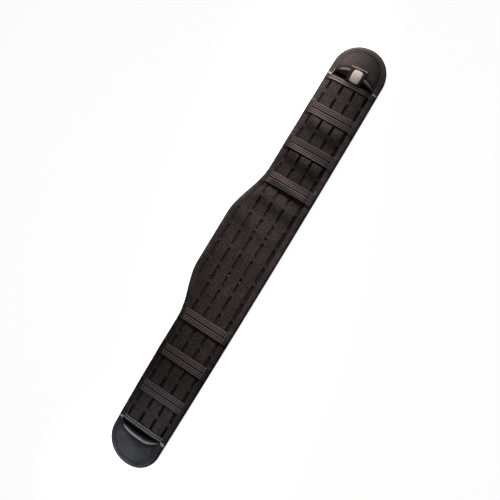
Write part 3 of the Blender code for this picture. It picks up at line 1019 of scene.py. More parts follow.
@dataclass
class FoamPad:
    """The foam pad with its mesh cover, swollen between its sewn edges."""

    form: BeltForm
    inset: float = 3.2 * MM
    cell: float = 5.0 * MM
    under: float = 1.4 * MM
    start_thickness: float = 4.3 * MM
    clearance: float = 0.15 * MM
    under_panel: float = 1.35 * MM
    outer_press: float = 0.62
    outer_rise: float = 0.3 * MM
    outer_depths: tuple[float, float] = (17.0 * MM, 27.0 * MM)
    # Where the pad is pressed up under the panel, by x; this also sets its painted light in the
    # slots.
    press: tuple[tuple[float, float], ...] = (
        (-0.370, 0.10), (-0.278, 0.10), (-0.264, 0.90), (-0.16, 1.0), (0.190, 1.0),
        (0.203, 0.30), (0.214, 0.20), (0.236, 0.80), (0.262, 0.80), (0.272, 0.12), (0.370, 0.10),
    )
    sole_inset: float = 12.0 * MM
    sole_step_inset: float = 9.6 * MM
    dimple: float = 0.12 * MM
    lift_blend: float = 0.03
    rim_width: float = 6.0 * MM
    rim_blend: float = 4.0 * MM
    pressure: float = 4.0
    frames: int = 20

    def build(self) -> Mesh:
        """The finished pad."""
        form = self.form
        columns = round(2 * form.half_length / self.cell)
        rows = round((form.lumbar_y - form.bottom_y) / self.cell)
        width, length = columns * self.cell, rows * self.cell
        pad = cloth_grid("foam_pad", columns, rows, width, length)
        points = mesh_points(pad) * (width / 2, length / 2, 0.0)
        points[:, 2] = self.under + self.start_thickness
        place_points(pad, points)
        trim_to_outline(pad, form, self.inset)
        thicken(pad, self.start_thickness)
        self.swell(pad)
        apply_modifier(pad, "SUBSURF", levels=1, render_levels=1)
        self.settle(pad)
        shade(pad, ROUND)
        pad.data.materials.append(PadCloth().make())
        set_in_place(pad, ["pad_body"])
        return pad

    def swell(self, pad: Mesh) -> None:
        """Blow the pad up between its sewn edges with a cloth simulation.

        Args:
            pad: The flat pad, a closed shell.
        """
        points = mesh_points(pad)
        depth, _ = self.form.nearest(points[:, 0], points[:, 1])
        sewn = pad.vertex_groups.new(name="sewn")
        sewn.add(np.flatnonzero(depth < self.form.flange_depth).tolist(), 1.0, "REPLACE")
        pick(pad)
        cloth = pad.modifiers.new("cloth", "CLOTH")
        cloth.settings.use_pressure = True
        cloth.settings.uniform_pressure_force = self.pressure
        cloth.settings.effector_weights.gravity = 0.0
        cloth.settings.vertex_group_mass = sewn.name
        cloth.settings.quality = 4
        cloth.collision_settings.use_collision = False
        scene = bpy.context.scene
        for number in range(1, self.frames + 1):
            scene.frame_set(number)
        bpy.ops.object.modifier_apply(modifier=cloth.name)
        scene.frame_set(1)
        pad.vertex_groups.clear()

    def settle(self, pad: Mesh) -> None:
        """Press the pad into the room between the surface it lies on and the panel.

        Args:
            pad: The swollen pad.
        """
        points = mesh_points(pad)
        x, y, z = points.T
        depth, _ = self.form.nearest(x, y)
        room = self.form.pad_top(x, y) - self.clearance
        near_edge, far_in = self.outer_depths
        by_edge = ramp((far_in - depth) / (far_in - near_edge))
        share = np.maximum(np.interp(x, *np.array(self.press).T), self.outer_press * by_edge)
        # The share is also the pad's painted light in the slots.
        note(pad, "slot_light", share)
        share = share * ramp((self.form.lift_full_x - np.abs(x)) / self.lift_blend)
        share = share * ramp((depth - self.inset - self.rim_width) / self.rim_blend)
        limit = self.form.panel_top(x, y) - self.under_panel + self.outer_rise * by_edge
        room += np.maximum(limit - room, 0.0) * share
        middle = self.under + self.start_thickness / 2
        step = (depth - self.sole_step_inset) / (self.sole_inset - self.sole_step_inset)
        sole = self.under * (1.0 - ramp(step))
        upper = z > middle
        dimple = self.dimple * (1.0 + soft_noise(x, y, 0.018, seed=9))
        swollen = np.where(upper, np.maximum(z, room - dimple), np.minimum(z, sole + dimple))
        points[:, 2] = np.where(upper, np.minimum(swollen, room), np.maximum(swollen, sole))
        place_points(pad, points)


def trim_to_outline(obj: Mesh, form: BeltForm, inset: float, reach: float = 6.0 * MM) -> None:
    """Cut a flat sheet to the belt's outline, moved inwards.

    Args:
        obj: The sheet, in its place seen from above.
        form: The belt's form.
        inset: How far inside the outline the cut lies.
        reach: How far from the cut the corners of the cells are drawn to it.
    """
    points = mesh_points(obj)
    depth, _ = form.nearest(points[:, 0], points[:, 1])
    mesh = obj.data
    corners = read(mesh.loops, "vertex_index", kind=int)
    outside = (depth < inset)[corners].reshape(len(mesh.polygons), -1).sum(axis=1) > 2
    remove_faces(obj, outside)
    points = mesh_points(obj)
    edges = np.array([edge.vertices[:] for edge in mesh.edges])
    uses = np.bincount(read(mesh.loops, "edge_index", kind=int), minlength=len(edges))
    rim = np.unique(edges[uses == 1])
    for _ in range(2):
        depth, near = form.nearest(points[rim, 0], points[rim, 1])
        close = depth < inset + reach
        move = (depth - inset)[:, None] * form.outwards[near]
        points[rim[close], :2] += move[close]
    place_points(obj, points)


@dataclass
class FacePanel:
    """The stiff outer cloth with its rows of cut slots."""

    form: BeltForm
    pitch_x: float = 38.1 * MM
    pitch_y: float = 25.4 * MM
    centre_y: float = -0.15 * MM
    cells_x: int = 16
    cells_y: int = 20
    slot_cells: int = 3
    bridge_cells: int = 4
    left_x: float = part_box("face_panel")[0].x
    right_x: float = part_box("face_panel")[1].x
    inset: float = 3.4 * MM
    thickness: float = 1.4 * MM
    margin: float = 4.0 * MM
    lip: float = 0.55 * MM
    lip_reach: float = 3.4 * MM
    slot_round: float = 1.1 * MM
    # How far the painted shade reaches out from each slot.
    slot_shade: float = 1.5 * MM
    merge: float = 0.35 * MM
    slot_columns: range = range(-10, 10)
    full_rows: tuple[int, ...] = (-2, -1, 0, 1)
    lumbar_row: int = 2
    lumbar_columns: range = range(-2, 2)

    def slots(self) -> list[tuple[float, float, float, float]]:
        """Left, right, lower and upper side of every slot."""
        cell_x, cell_y = self.pitch_x / self.cells_x, self.pitch_y / self.cells_y
        half = self.slot_cells / 2 * cell_y
        places = [(c, r) for r in self.full_rows for c in self.slot_columns]
        places += [(c, self.lumbar_row) for c in self.lumbar_columns]
        boxes = []
        for column, row in places:
            start = column * self.pitch_x + self.bridge_cells / 2 * cell_x
            end = start + self.pitch_x - self.bridge_cells * cell_x
            left, right = self.form.drawn_x(np.array([start, end]))
            left = max(left, self.left_x + self.margin)
            right = min(right, self.right_x - self.margin)
            middle = self.centre_y + row * self.pitch_y
            boxes.append((left, right, middle - half, middle + half))
        return boxes

    def build(self) -> Mesh:
        """The finished panel."""
        form = self.form
        cell_x, cell_y = self.pitch_x / self.cells_x, self.pitch_y / self.cells_y
        columns = 2 * math.ceil(max(-self.left_x, self.right_x + form.draw_in) / cell_x)
        first = math.floor((form.bottom_y - self.centre_y) / cell_y) + 0.5
        last = math.ceil((form.lumbar_y - self.centre_y) / cell_y) + 0.5
        rows = round(last - first)
        panel = cloth_grid("slotted_panel", columns, rows, columns * cell_x, rows * cell_y)
        points = mesh_points(panel)
        points[:, 0] = form.drawn_x(points[:, 0] * columns / 2 * cell_x)
        points[:, 1] = self.centre_y + (first + (points[:, 1] + 1.0) / 2 * rows) * cell_y
        place_points(panel, points)
        self.cut_slots(panel)
        trim_to_outline(panel, form, self.inset)
        points = mesh_points(panel)
        points[:, 0] = np.clip(points[:, 0], self.left_x, self.right_x)
        self.round_slots(points)
        points[:, 2] = form.panel_top(points[:, 0], points[:, 1]) + self.lips(points)
        place_points(panel, points)
        # Painted shade round the slots, for the material.
        note(panel, "slot_edge_shade", self.edge_shades(points))
        merge_close(panel, self.merge)
        return dress(panel, self.thickness, SHARP, PanelCloth().make(), Slot.PANEL, "face_panel")

    def cut_slots(self, panel: Mesh) -> None:
        """Cut the slots out of the flat cloth."""
        x, y, _ = read(panel.data.polygons, "center", 3).T
        cut = np.zeros(len(x), bool)
        for left, right, low, high in self.slots():
            cut |= (x > left) & (x < right) & (y > low) & (y < high)
        remove_faces(panel, cut)

    def round_slots(self, points: Points) -> None:
        """Draw the four corners of each slot in, so that its ends are round."""
        x, y, _ = points.T
        near = 0.2 * MM
        for left, right, low, high in self.slots():
            at_side = (np.abs(y - low) < near) | (np.abs(y - high) < near)
            for end, inwards in ((left, 1.0), (right, -1.0)):
                corner = at_side & (np.abs(x - end) < near)
                points[corner, 0] += inwards * self.slot_round

    def edge_shades(self, points: Points) -> np.ndarray:
        """Painted shade round the slots: 1 at their edges, fading to 0 away from them."""
        x, y, _ = points.T
        slot_shade = np.zeros(len(x))
        for left, right, low, high in self.slots():
            away_x = np.maximum(np.maximum(left - x, x - right), 0.0)
            away_y = np.maximum(np.maximum(low - y, y - high), 0.0)
            slot_shade = np.maximum(slot_shade, 1.0 - np.hypot(away_x, away_y) / self.slot_shade)
        return np.clip(slot_shade, 0.0, 1.0)

    def lips(self, points: Points) -> np.ndarray:
        """How far the cloth stands up or dips beside each slot."""
        x, y, _ = points.T
        random = np.random.default_rng(21)
        height = np.zeros(len(x))
        for left, right, low, high in self.slots():
            middle = (left + right) / 2
            along = np.clip(1.0 - ((x - middle) / (0.62 * (right - left))) ** 2, 0.0, 1.0)
            for edge, outside in ((low, y < (low + high) / 2), (high, y > (low + high) / 2)):
                lift = random.uniform(-0.55, 1.0) * self.lip
                tilt = 1.0 + random.uniform(-0.8, 0.8) * (x - middle) / (right - left)
                height += lift * tilt * along * bell((y - edge) / self.lip_reach) * outside
        return height * self.form.crown(x, y)


@dataclass
class KeeperStraps:
    """The six webbing straps sewn down across the panel."""

    form: BeltForm
    count: int = 6
    first_rib: float = 2.6 * MM
    rib_pitch: float = 3.8 * MM
    inset: float = 4.5 * MM
    gap: float = 0.3 * MM
    thickness: float = 1.5 * MM
    rib_height: float = 0.26 * MM
    groove: float = 0.55 * MM
    groove_reach: float = 0.55 * MM
    edge_reach: float = 0.35 * MM
    uneven: float = 0.35 * MM
    uneven_length: float = 30.0 * MM
    arch: float = 0.35 * MM
    columns: int = 48
    row_length: float = 1.6 * MM

    def profile(self, across: np.ndarray, width: float) -> np.ndarray:
        """Height of the webbing's ribs, groove and edges over its thickness.

        Args:
            across: Place across the strap, from 0 at its middle.
            width: The strap's width.

        Returns:
            One height for each place.
        """
        from_rib = (np.abs(across) - self.first_rib) / self.rib_pitch
        ribs = np.abs(np.cos(math.pi * from_rib)) ** 0.7 - 1.0
        groove = -bell(across / self.groove_reach)
        edge = -bell((np.abs(across) - width / 2) / self.edge_reach)
        return self.rib_height * ribs + self.groove * (groove + 0.8 * edge)

    def build(self) -> list[Mesh]:
        """The finished straps."""
        low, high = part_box("keeper_strap_1")
        finish = WebbingCloth(
            name=Slot.WEBBING.value, dark=(0.0050, 0.0042, 0.0068), light=(0.1080, 0.0890, 0.0950),
            width=high.x - low.x, first_rib=self.first_rib, rib_pitch=self.rib_pitch,
        ).make()
        return [self.strap(number, finish) for number in range(1, self.count + 1)]

    def strap(self, number: int, finish: bpy.types.Material) -> Mesh:
        """One finished strap."""
        form, node = self.form, f"keeper_strap_{number}"
        low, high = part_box(node)
        width, centre = high.x - low.x, (high.x + low.x) / 2
        start = float(form.low_y(centre)) + self.inset
        end = float(form.top_y(centre)) - self.inset
        rows = round((end - start) / self.row_length)
        strap = cloth_grid(f"webbing_strap_{number}", self.columns, rows, width, end - start)
        u, v, _ = mesh_points(strap).T
        across = u * width / 2
        x = centre + across
        y = start + (v + 1.0) / 2 * (end - start)
        y += self.uneven * np.sin(2 * math.pi * x / self.uneven_length + number)
        z = form.panel_top(x, y) + self.gap + self.thickness + self.profile(across, width)
        z += self.arch * form.crown(x, y) * bell(across / (0.45 * width))
        place_points(strap, np.column_stack([x, y, z]))
        return dress(strap, self.thickness - self.rib_height, SHARP, finish, Slot.WEBBING, node)


@dataclass
class MouthTape:
    """The narrow tape folded over one end of the panel."""

    form: BeltForm
    side: Side
    lower_leg: float = 9.2 * MM
    groove_at: float = 5.2 * MM
    inset: float = 4.5 * MM
    gap: float = 0.3 * MM
    thickness: float = 1.2 * MM
    wall: float = 0.9 * MM
    pad_gap: float = 0.1 * MM
    first_rib: float = 2.2 * MM
    rib_pitch: float = 3.6 * MM
    columns: int = 36
    row_length: float = 1.5 * MM
    upper: tuple[tuple[float, float], ...] = (
        (0.0, 0.45), (0.35, 0.08), (1.6, -0.16), (3.8, -0.12), (5.1, 0.32), (6.4, -0.12),
        (9.0, -0.16),
    )
    folded: tuple[tuple[float, float], ...] = (
        (0.7, 0.15), (0.1, 0.9), (0.0, 2.0), (0.15, 3.3), (0.9, 4.3), (2.4, 4.7),
    )

    def section(self, inner: float, outer: float) -> Points:
        """Distance from the belt's middle and drop below the tape's top, round its section.

        Args:
            inner: Where its inner edge is, as a distance from the belt's middle.
            outer: Where its fold is.

        Returns:
            One row a point.
        """
        rows = [(inner + x * MM, drop * MM) for x, drop in self.upper]
        rows += [(outer - x * MM, drop * MM) for x, drop in self.folded]
        rows.append((outer - self.lower_leg, self.folded[-1][1] * MM))
        return smooth_line(np.array(rows), self.columns + 1)

    def build(self) -> Mesh:
        """The finished tape."""
        form, sign = self.form, self.side.value
        node = f"mouth_tape_{self.side.word}"
        inner, outer = sorted(abs(corner.x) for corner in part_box(node))
        section = self.section(inner, outer)
        around = float(run_along(section)[-1])
        start = float(form.low_y(inner)) + self.inset
        end = float(form.top_y(sign * inner)) - self.inset
        rows = round((end - start) / self.row_length)
        name = f"mouth_binding_{self.side.word}"
        tape = cloth_grid(name, self.columns, rows, around, end - start)
        points = mesh_points(tape)
        place = np.tile(section, (rows + 1, 1))
        x = sign * place[:, 0]
        y = start + (points[:, 1] + 1.0) / 2 * (end - start)
        top = form.panel_top(x, y) + self.gap + self.thickness
        z = np.maximum(top - place[:, 1], form.pad_top(x, y) + self.pad_gap)
        place_points(tape, np.column_stack([x, y, z]))
        right = self.side is Side.RIGHT
        if not right:
            flip(tape)
        # The right tape's lighter colours are painted light, and its lower part takes a painted
        # shadow.
        finish = WebbingCloth(
            name=f"{Slot.END_TAPE.value}_{self.side.word}", dark=(0.0080, 0.0068, 0.0088),
            light=(0.2400, 0.2050, 0.2080) if right else (0.1450, 0.1300, 0.1340),
            width=2 * self.groove_at, first_rib=self.first_rib, rib_pitch=self.rib_pitch,
            lower_shade=0.30 if right else 1.0,
        )
        return dress(tape, self.wall, SHARP, finish.make(), Slot.END_TAPE, node)


@dataclass(frozen=True)
class BindingPoint:
    """One point of the binding's section.

    leg is its inset as a share of the upper leg, or inset is the inset itself.
    """

    height: float
    lift: float
    leg: float = 0.0
    inset: float = 0.0


@dataclass(frozen=True)
class Pleat:
    """A small ridge across the binding where it is eased round a curve."""

    x: float
    y: float
    height: float
    reach: float


@dataclass
class EdgeBinding:
    """The tape folded over the whole edge and sewn down."""

    form: BeltForm
    count: int = 1280
    thickness: float = 0.9 * MM
    straight_leg: float = 9.8 * MM
    round_leg: float = 8.6 * MM
    round_start_x: float = 0.395
    round_full_x: float = 0.432
    lift_ramp: float = 4.6 * MM
    strap_lift: float = 1.3 * MM
    tape_lift: float = 1.2 * MM
    seam_leg: float = 0.75
    section: tuple[BindingPoint, ...] = (
        BindingPoint(9.95, 1.0, leg=1.00),
        BindingPoint(10.3, 1.0, leg=0.975),
        BindingPoint(10.3, 1.0, leg=0.89),
        BindingPoint(9.68, 1.0, leg=0.75),
        BindingPoint(10.1, 1.0, leg=0.66),
        BindingPoint(10.1, 1.0, leg=0.52),
        BindingPoint(9.86, 1.0, leg=0.38),
        BindingPoint(9.34, 1.0, inset=2.4),
        BindingPoint(8.82, 0.9, inset=1.3),
        BindingPoint(8.00, 0.7, inset=0.4),
        BindingPoint(6.80, 0.45, inset=-0.3),
        BindingPoint(5.20, 0.25, inset=-0.5),
        BindingPoint(3.50, 0.1, inset=-0.4),
        BindingPoint(1.90, 0.0, inset=0.15),
        BindingPoint(0.70, 0.0, inset=1.1),
        BindingPoint(0.15, 0.0, inset=2.5),
        BindingPoint(0.00, 0.0, inset=4.5),
        BindingPoint(0.00, 0.0, inset=9.0),
    )
    pleats: tuple[Pleat, ...] = (
        Pleat(0.4124, -0.0530, 0.9, 1.7),
        Pleat(0.4225, -0.0452, 0.8, 1.6),
        Pleat(0.4336, -0.0341, 0.6, 1.6),
        Pleat(-0.4226, -0.0514, 1.1, 1.9),
        Pleat(-0.4338, -0.0380, 0.6, 1.6),
        Pleat(-0.4072, 0.0300, 0.8, 2.2),
        Pleat(-0.4162, 0.0262, 0.5, 1.6),
    )
    join_start_x: float = -0.4226
    join_end_x: float = -0.3552
    join_slant: float = 0.75
    join_height: float = 0.5 * MM
    join_blend: float = 1.4 * MM
    pucker_start_x: float = 0.392
    pucker_blend: float = 0.02
    pucker: float = 0.24 * MM
    pucker_waves: tuple[float, float] = (0.0058, 0.031)
    uneven: float = 0.12 * MM
    uneven_waves: tuple[float, float] = (0.019, 0.113)

    def leg(self, x: np.ndarray) -> np.ndarray:
        """Width of the upper leg, less round the ends than along the belt."""
        share = (np.abs(x) - self.round_start_x) / (self.round_full_x - self.round_start_x)
        return self.straight_leg + (self.round_leg - self.straight_leg) * ramp(share)

    def lift(self, x: np.ndarray) -> np.ndarray:
        """How far the upper leg is raised over strap ends and end tapes."""
        spans = []
        for number in range(1, 7):
            low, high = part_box(f"keeper_strap_{number}")
            spans.append((low.x, high.x, self.strap_lift))
        for side in Side:
            low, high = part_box(f"mouth_tape_{side.word}")
            spans.append((low.x, high.x, self.tape_lift))
        lift = np.zeros(len(x))
        for low, high, height in spans:
            away = np.maximum(np.maximum(low - x, x - high), 0.0)
            lift = np.maximum(lift, height * ramp(1.0 - away / self.lift_ramp))
        return lift

    def surface(self, line: Points, outwards: Points, run: np.ndarray,
                inset: np.ndarray, height: float, share: float) -> Points:
        """Points of the tape at one place of its section, all round the belt.

        Args:
            line: The outline's stations.
            outwards: The outward direction at each.
            run: The length along the outline at each.
            inset: How far inside the outline, at each.
            height: The section's height in millimetres.
            share: How much of the lift and unevenness this point takes.

        Returns:
            One row of x, y and z a station.
        """
        x, y = line.T
        z = height * MM + self.lift(x) * share
        inwards = inset / self.straight_leg
        for pleat in self.pleats:
            along = np.hypot(x - pleat.x, y - pleat.y)
            near = y - pleat.y < 30 * MM
            ridge = bell(along / (pleat.reach * MM)) * near
            z += share * pleat.height * MM * ridge * (0.35 + inwards)
        lower = y < -0.02
        edge = x - self.join_end_x + self.join_slant * (inset - self.straight_leg / 2)
        begun = ramp(0.5 + (x - self.join_start_x) / self.join_blend)
        z += share * self.join_height * ramp(0.5 - edge / self.join_blend) * begun * lower
        curved = ramp((np.abs(x) - self.pucker_start_x) / self.pucker_blend)
        turn = 2 * math.pi * run
        (short, long), (brief, slow) = self.pucker_waves, self.uneven_waves
        pucker = self.pucker * np.sin(turn / short) * np.sin(turn / long + 1.0)
        z += share * pucker * curved * inwards
        z += share * self.uneven * np.sin(turn / brief) * np.sin(turn / slow)
        place = line - outwards * np.asarray(inset)[:, None]
        return np.column_stack([place, z])

    def ring(self, point: BindingPoint, line: Points, outwards: Points, run: np.ndarray) -> Points:
        """The points of one line of the section, all round the belt."""
        if point.leg:
            inset = point.leg * self.leg(line[:, 0])
        else:
            inset = np.full(len(line), point.inset * MM)
        return self.surface(line, outwards, run, inset, point.height, point.lift)

    def seam_line(self, count: int) -> Points:
        """Points of the seam on the tape's upper leg, count of them."""
        seam = next(p for p in self.section if p.leg == self.seam_leg)
        return self.ring(seam, *self.form.stations(count))

    def build(self) -> Mesh:
        """The finished binding."""
        line, outwards, run = self.form.stations(self.count)
        rings = [self.ring(point, line, outwards, run) for point in self.section]
        closed = [np.vstack([ring, ring[:1]]) for ring in rings]
        length = float(run_along(line)[-1])
        rows_at = run_along(np.array([ring[0] for ring in rings]))
        tape = cloth_grid("edge_tape", self.count, len(rings) - 1, length, rows_at[-1], rows_at)
        place_points(tape, np.vstack(closed))
        merge_close(tape, 1e-6)
        flip(tape)
        finish = BindingCloth().make()
        return dress(tape, self.thickness, ROUND, finish, Slot.BINDING, "edge_binding")


@dataclass(frozen=True)
class LipRow:
    """Where a hood's lip ends, how wide it rolls and how high its crest stands.

    crease is the share of that height which is left in the crease behind the lip, and hem
    how far the turned-in hem slopes down towards the mouth.
    """

    y: float
    edge_x: float
    roll: float
    height: float
    crease: float = 0.45
    hem: float = 0.0


@dataclass
class EndHood:
    """The cloth cap of one round end, with a rolled lip over its open mouth.

    The lip and its crease are measured in rolls, behind the lip's edge. The dome is measured
    as a share of the way from the crease to the flange. gleam sets the painted highlight on the
    crest, and groove the painted shade beside the binding.
    """

    form: BeltForm
    side: Side
    mouth: tuple[LipRow, ...]
    lip_section: tuple[tuple[float, float], ...]
    highlight_strength: float
    groove: float
    finish: bpy.types.Material
    wall: float = 1.0 * MM
    flange_inset: float = 10.2 * MM
    round_flange_inset: float = 9.0 * MM
    round_start_x: float = 0.395
    round_run: float = 0.037
    flange_gap: float = 0.3 * MM
    # Height at which the painted highlight on the crest reaches full strength.
    highlight_height: float = 3.0 * MM
    cloth_size: tuple[float, float] = (0.14, 0.075)
    edge_inset: float = 3.6 * MM
    cloth_thickness: float = 1.4 * MM
    clearance: float = 0.5 * MM
    columns: int = 110
    rows: int = 96
    flat_rows: int = 4
    uneven: float = 0.28 * MM
    crest_at: float = 0.74
    crest_reach: float = 0.34
    back_share: float = 0.84
    crease_at: float = 1.5
    crease_reach: float = 0.36
    dome: float = 0.34
    dome_at: float = 0.42
    dome_shadow: float = 0.35
    shadow_reach: float = 0.16
    groove_reach: float = 0.05
    crease_section: tuple[tuple[float, float], ...] = ((1.20, 0.50), (1.38, 0.12), (1.62, 0.0))
    dome_section: tuple[tuple[float, float], ...] = (
        (0.08, 0.46), (0.17, 0.84), (0.27, 1.0), (0.41, 0.97), (0.55, 0.87), (0.68, 0.75),
        (0.80, 0.62), (0.90, 0.51), (0.955, 0.42), (0.985, 0.22), (1.0, 0.0),
    )

    def flange(self, inset: float, round_inset: float, count: int) -> Points:
        """A line inside the round end, from its upper corner to its lower one.

        Args:
            inset: How far inside the outline at the corners.
            round_inset: How far inside it at the apex.
            count: How many points to read.

        Returns:
            One row of x and y a point.
        """
        form, sign, end = self.form, self.side.value, self.form.end(self.side)
        line, outwards = form.line, form.outwards
        reach = np.abs(line[:, 0])
        share = ramp((reach - self.round_start_x) / self.round_run)
        depth = inset + (round_inset - inset) * share
        inner = line - outwards * depth[:, None]
        found = inner[inner[:, 0] * sign > end.hood_x]
        angle = np.arctan2(found[:, 1] - end.apex_y, found[:, 0] * sign - end.hood_x)
        found = found[np.argsort(-angle)]
        corner_x = sign * end.hood_x
        upper = (corner_x, float(form.top_y(corner_x)) - inset)
        lower = (corner_x, float(form.low_y(corner_x)) + inset)
        ring = np.vstack([upper, found, lower])
        run = run_along(ring)
        return read_at(ring, run, np.linspace(0.0, run[-1], count))

    def build(self) -> Mesh:
        """The finished hood."""
        form = self.form
        count = self.columns + 1
        table = [(r.edge_x, r.y, r.roll, r.height, r.crease, r.hem) for r in self.mouth]
        lip = smooth_line(table, count)
        flange = self.flange(self.flange_inset, self.round_flange_inset, count)
        edge = self.flange(self.edge_inset, self.edge_inset, count)
        name = f"hood_cloth_{self.side.word}"
        hood = cloth_grid(name, self.columns, self.rows, *self.cloth_size)
        grid = np.empty((self.rows + 1, count, 4))
        for i in range(count):
            grid[:, i] = self.section(lip[i], flange[i], edge[i])
        x, y = grid[..., 0], grid[..., 1]
        share = np.linspace(0.0, 1.0, self.rows + 1)[:, None]
        floor = form.pad_top(x, y) + self.clearance + self.cloth_thickness
        on_flange = form.flange_top + self.flange_gap + self.cloth_thickness
        floor = np.where(grid[..., 2] < 0, on_flange, floor)
        uneven = self.uneven * soft_noise(x, y, 0.03, seed=5) * np.sin(math.pi * share)
        z = floor + np.maximum(grid[..., 2], 0.0) + np.where(grid[..., 2] > 0.5 * MM, uneven, 0.0)
        place_points(hood, np.dstack([x, y, z]).reshape(-1, 3))
        # Painted highlight on the raised crest, and painted shade in the creases and beside the
        # binding, for the material.
        raised = np.clip(grid[..., 2] / self.highlight_height, 0.0, 1.0)
        note(hood, "painted_highlight", np.clip(grid[..., 3] * raised, 0.0, 1.0))
        note(hood, "painted_shade", np.clip(-grid[..., 3], 0.0, 1.0))
        if self.side is Side.RIGHT:
            flip(hood)
        node = f"end_hood_{self.side.word}"
        return dress(hood, self.wall, ROUND, self.finish, Slot.HOOD, node)

    def lip_light(self, rolls: float, y: float) -> float:
        """Painted light on the lip: a painted highlight of 1 on its crest, painted shade below 0
        on its inner side and towards its upper corner.
        """
        crest = bell((rolls - self.crest_at) / self.crest_reach)
        inner_shade = ramp((0.58 - rolls) / 0.3)
        painted_highlight = self.highlight_strength * crest * (1.0 - ramp((y - 0.014) / 0.008))
        return float(painted_highlight - 0.9 * inner_shade - 0.6 * ramp((y - 0.018) / 0.006))

    def section(self, lip: Points, flange: Points, edge: Points) -> Points:
        """One line of the hood, from the turned-in hem over the lip to its outer edge.

        Args:
            lip: x, y, roll, crest height, crease and hem of the lip.
            flange: Where the hood meets the flange.
            edge: Where the cloth ends under the binding.

        Returns:
            x, y, height over the pad (or -1 on the flange), and the painted light, from 1 for
            the painted highlight on the crest to -1 for the painted shade in the crease.
        """
        x, y, roll, height, crease, hem = lip
        length = math.dist((x, y), flange)
        low = crease * height
        back = self.back_share * height
        table = [
            (rolls * (roll if rolls >= 0 else hem), share * height, self.lip_light(rolls, y))
            for rolls, share in self.lip_section
        ]
        for rolls, share in self.crease_section:
            # Painted shade in the crease behind the lip.
            dark = bell((rolls - self.crease_at) / self.crease_reach)
            table.append((rolls * roll, low + (back - low) * share, -dark))
        start = self.crease_section[-1][0] * roll
        top = max(low, self.dome * height)
        for far, share in self.dome_section:
            rise = low + (top - low) * share if far < self.dome_at else top * share
            # Painted shadow at the start of the dome and painted shade beside the binding.
            shadow = self.dome_shadow * bell(far / self.shadow_reach)
            dark = shadow + self.groove * bell((far - 1.0) / self.groove_reach)
            table.append((start + (length - start) * far, rise, -dark))
        flat_rows = self.flat_rows
        line = smooth_line(np.array(table), self.rows + 1 - flat_rows)
        along = line[:, :1] / length
        place = np.array([x, y]) + (np.asarray(flange) - (x, y)) * along
        rest = np.linspace(0.0, 1.0, flat_rows + 1)[1:, None]
        flat = np.asarray(flange) + (np.asarray(edge) - flange) * rest
        # Painted shade on the strip beside the binding.
        groove = np.full(flat_rows, self.groove)
        upper = np.column_stack([place, np.maximum(line[:, 1], 0.0), line[:, 2]])
        return np.vstack([upper, np.column_stack([flat, np.full(flat_rows, -1.0), -groove])])


LEFT_MOUTH = (
    LipRow(0.0290, -0.3800, 0.0014, 0.0003),
    LipRow(0.0264, -0.3826, 0.0026, 0.0020),
    LipRow(0.0201, -0.3845, 0.0046, 0.0044, 0.40),
    LipRow(0.0121, -0.3859, 0.0053, 0.0062, 0.28),
    LipRow(0.0040, -0.3866, 0.0058, 0.0074, 0.20),
    LipRow(-0.0039, -0.3868, 0.0061, 0.0082, 0.17),
    LipRow(-0.0119, -0.3867, 0.0064, 0.0086, 0.16),
    LipRow(-0.0200, -0.3866, 0.0066, 0.0088, 0.16),
    LipRow(-0.0278, -0.3864, 0.0068, 0.0088, 0.14),
    LipRow(-0.0345, -0.3857, 0.0058, 0.0078, 0.06),
    LipRow(-0.0400, -0.3846, 0.0044, 0.0064, 0.02),
    LipRow(-0.0445, -0.3832, 0.0034, 0.0048, 0.02),
    LipRow(-0.0518, -0.3808, 0.0016, 0.0006, 0.20),
)
RIGHT_MOUTH = (
    LipRow(0.0308, 0.3758, 0.0014, 0.0003, hem=0.0004),
    LipRow(0.0296, 0.3776, 0.0024, 0.0012, hem=0.0004),
    LipRow(0.0278, 0.3796, 0.0036, 0.0026, 0.60, 0.0008),
    LipRow(0.0240, 0.3822, 0.0050, 0.0038, 0.70, 0.0022),
    LipRow(0.0159, 0.3848, 0.0062, 0.0048, 0.78, 0.0048),
    LipRow(0.0079, 0.3870, 0.0068, 0.0054, 0.80, 0.0066),
    LipRow(-0.0020, 0.3880, 0.0070, 0.0056, 0.76, 0.0072),
    LipRow(-0.0120, 0.3878, 0.0066, 0.0058, 0.66, 0.0070),
    LipRow(-0.0220, 0.3845, 0.0066, 0.0062, 0.46, 0.0034),
    LipRow(-0.0320, 0.3812, 0.0064, 0.0066, 0.26, 0.0004),
    LipRow(-0.0401, 0.3793, 0.0054, 0.0060, 0.20, 0.0002),
    LipRow(-0.0479, 0.3776, 0.0036, 0.0040, 0.25, 0.0002),
    LipRow(-0.0525, 0.3756, 0.0014, 0.0003, hem=0.0002),
)
LEFT_LIP = (
    (1.05, 0.20), (0.55, 0.17), (0.24, 0.22), (0.06, 0.36), (0.0, 0.54), (0.06, 0.72),
    (0.20, 0.87), (0.42, 0.97), (0.66, 1.0), (0.86, 0.98), (1.06, 0.84),
)
RIGHT_LIP = (
    (0.9, 0.30), (-0.45, 0.28), (-0.85, 0.28), (-1.0, 0.34), (-0.93, 0.42), (-0.7, 0.52),
    (-0.35, 0.66), (0.0, 0.80), (0.35, 0.94), (0.62, 1.0), (0.85, 0.97), (1.08, 0.84),
)


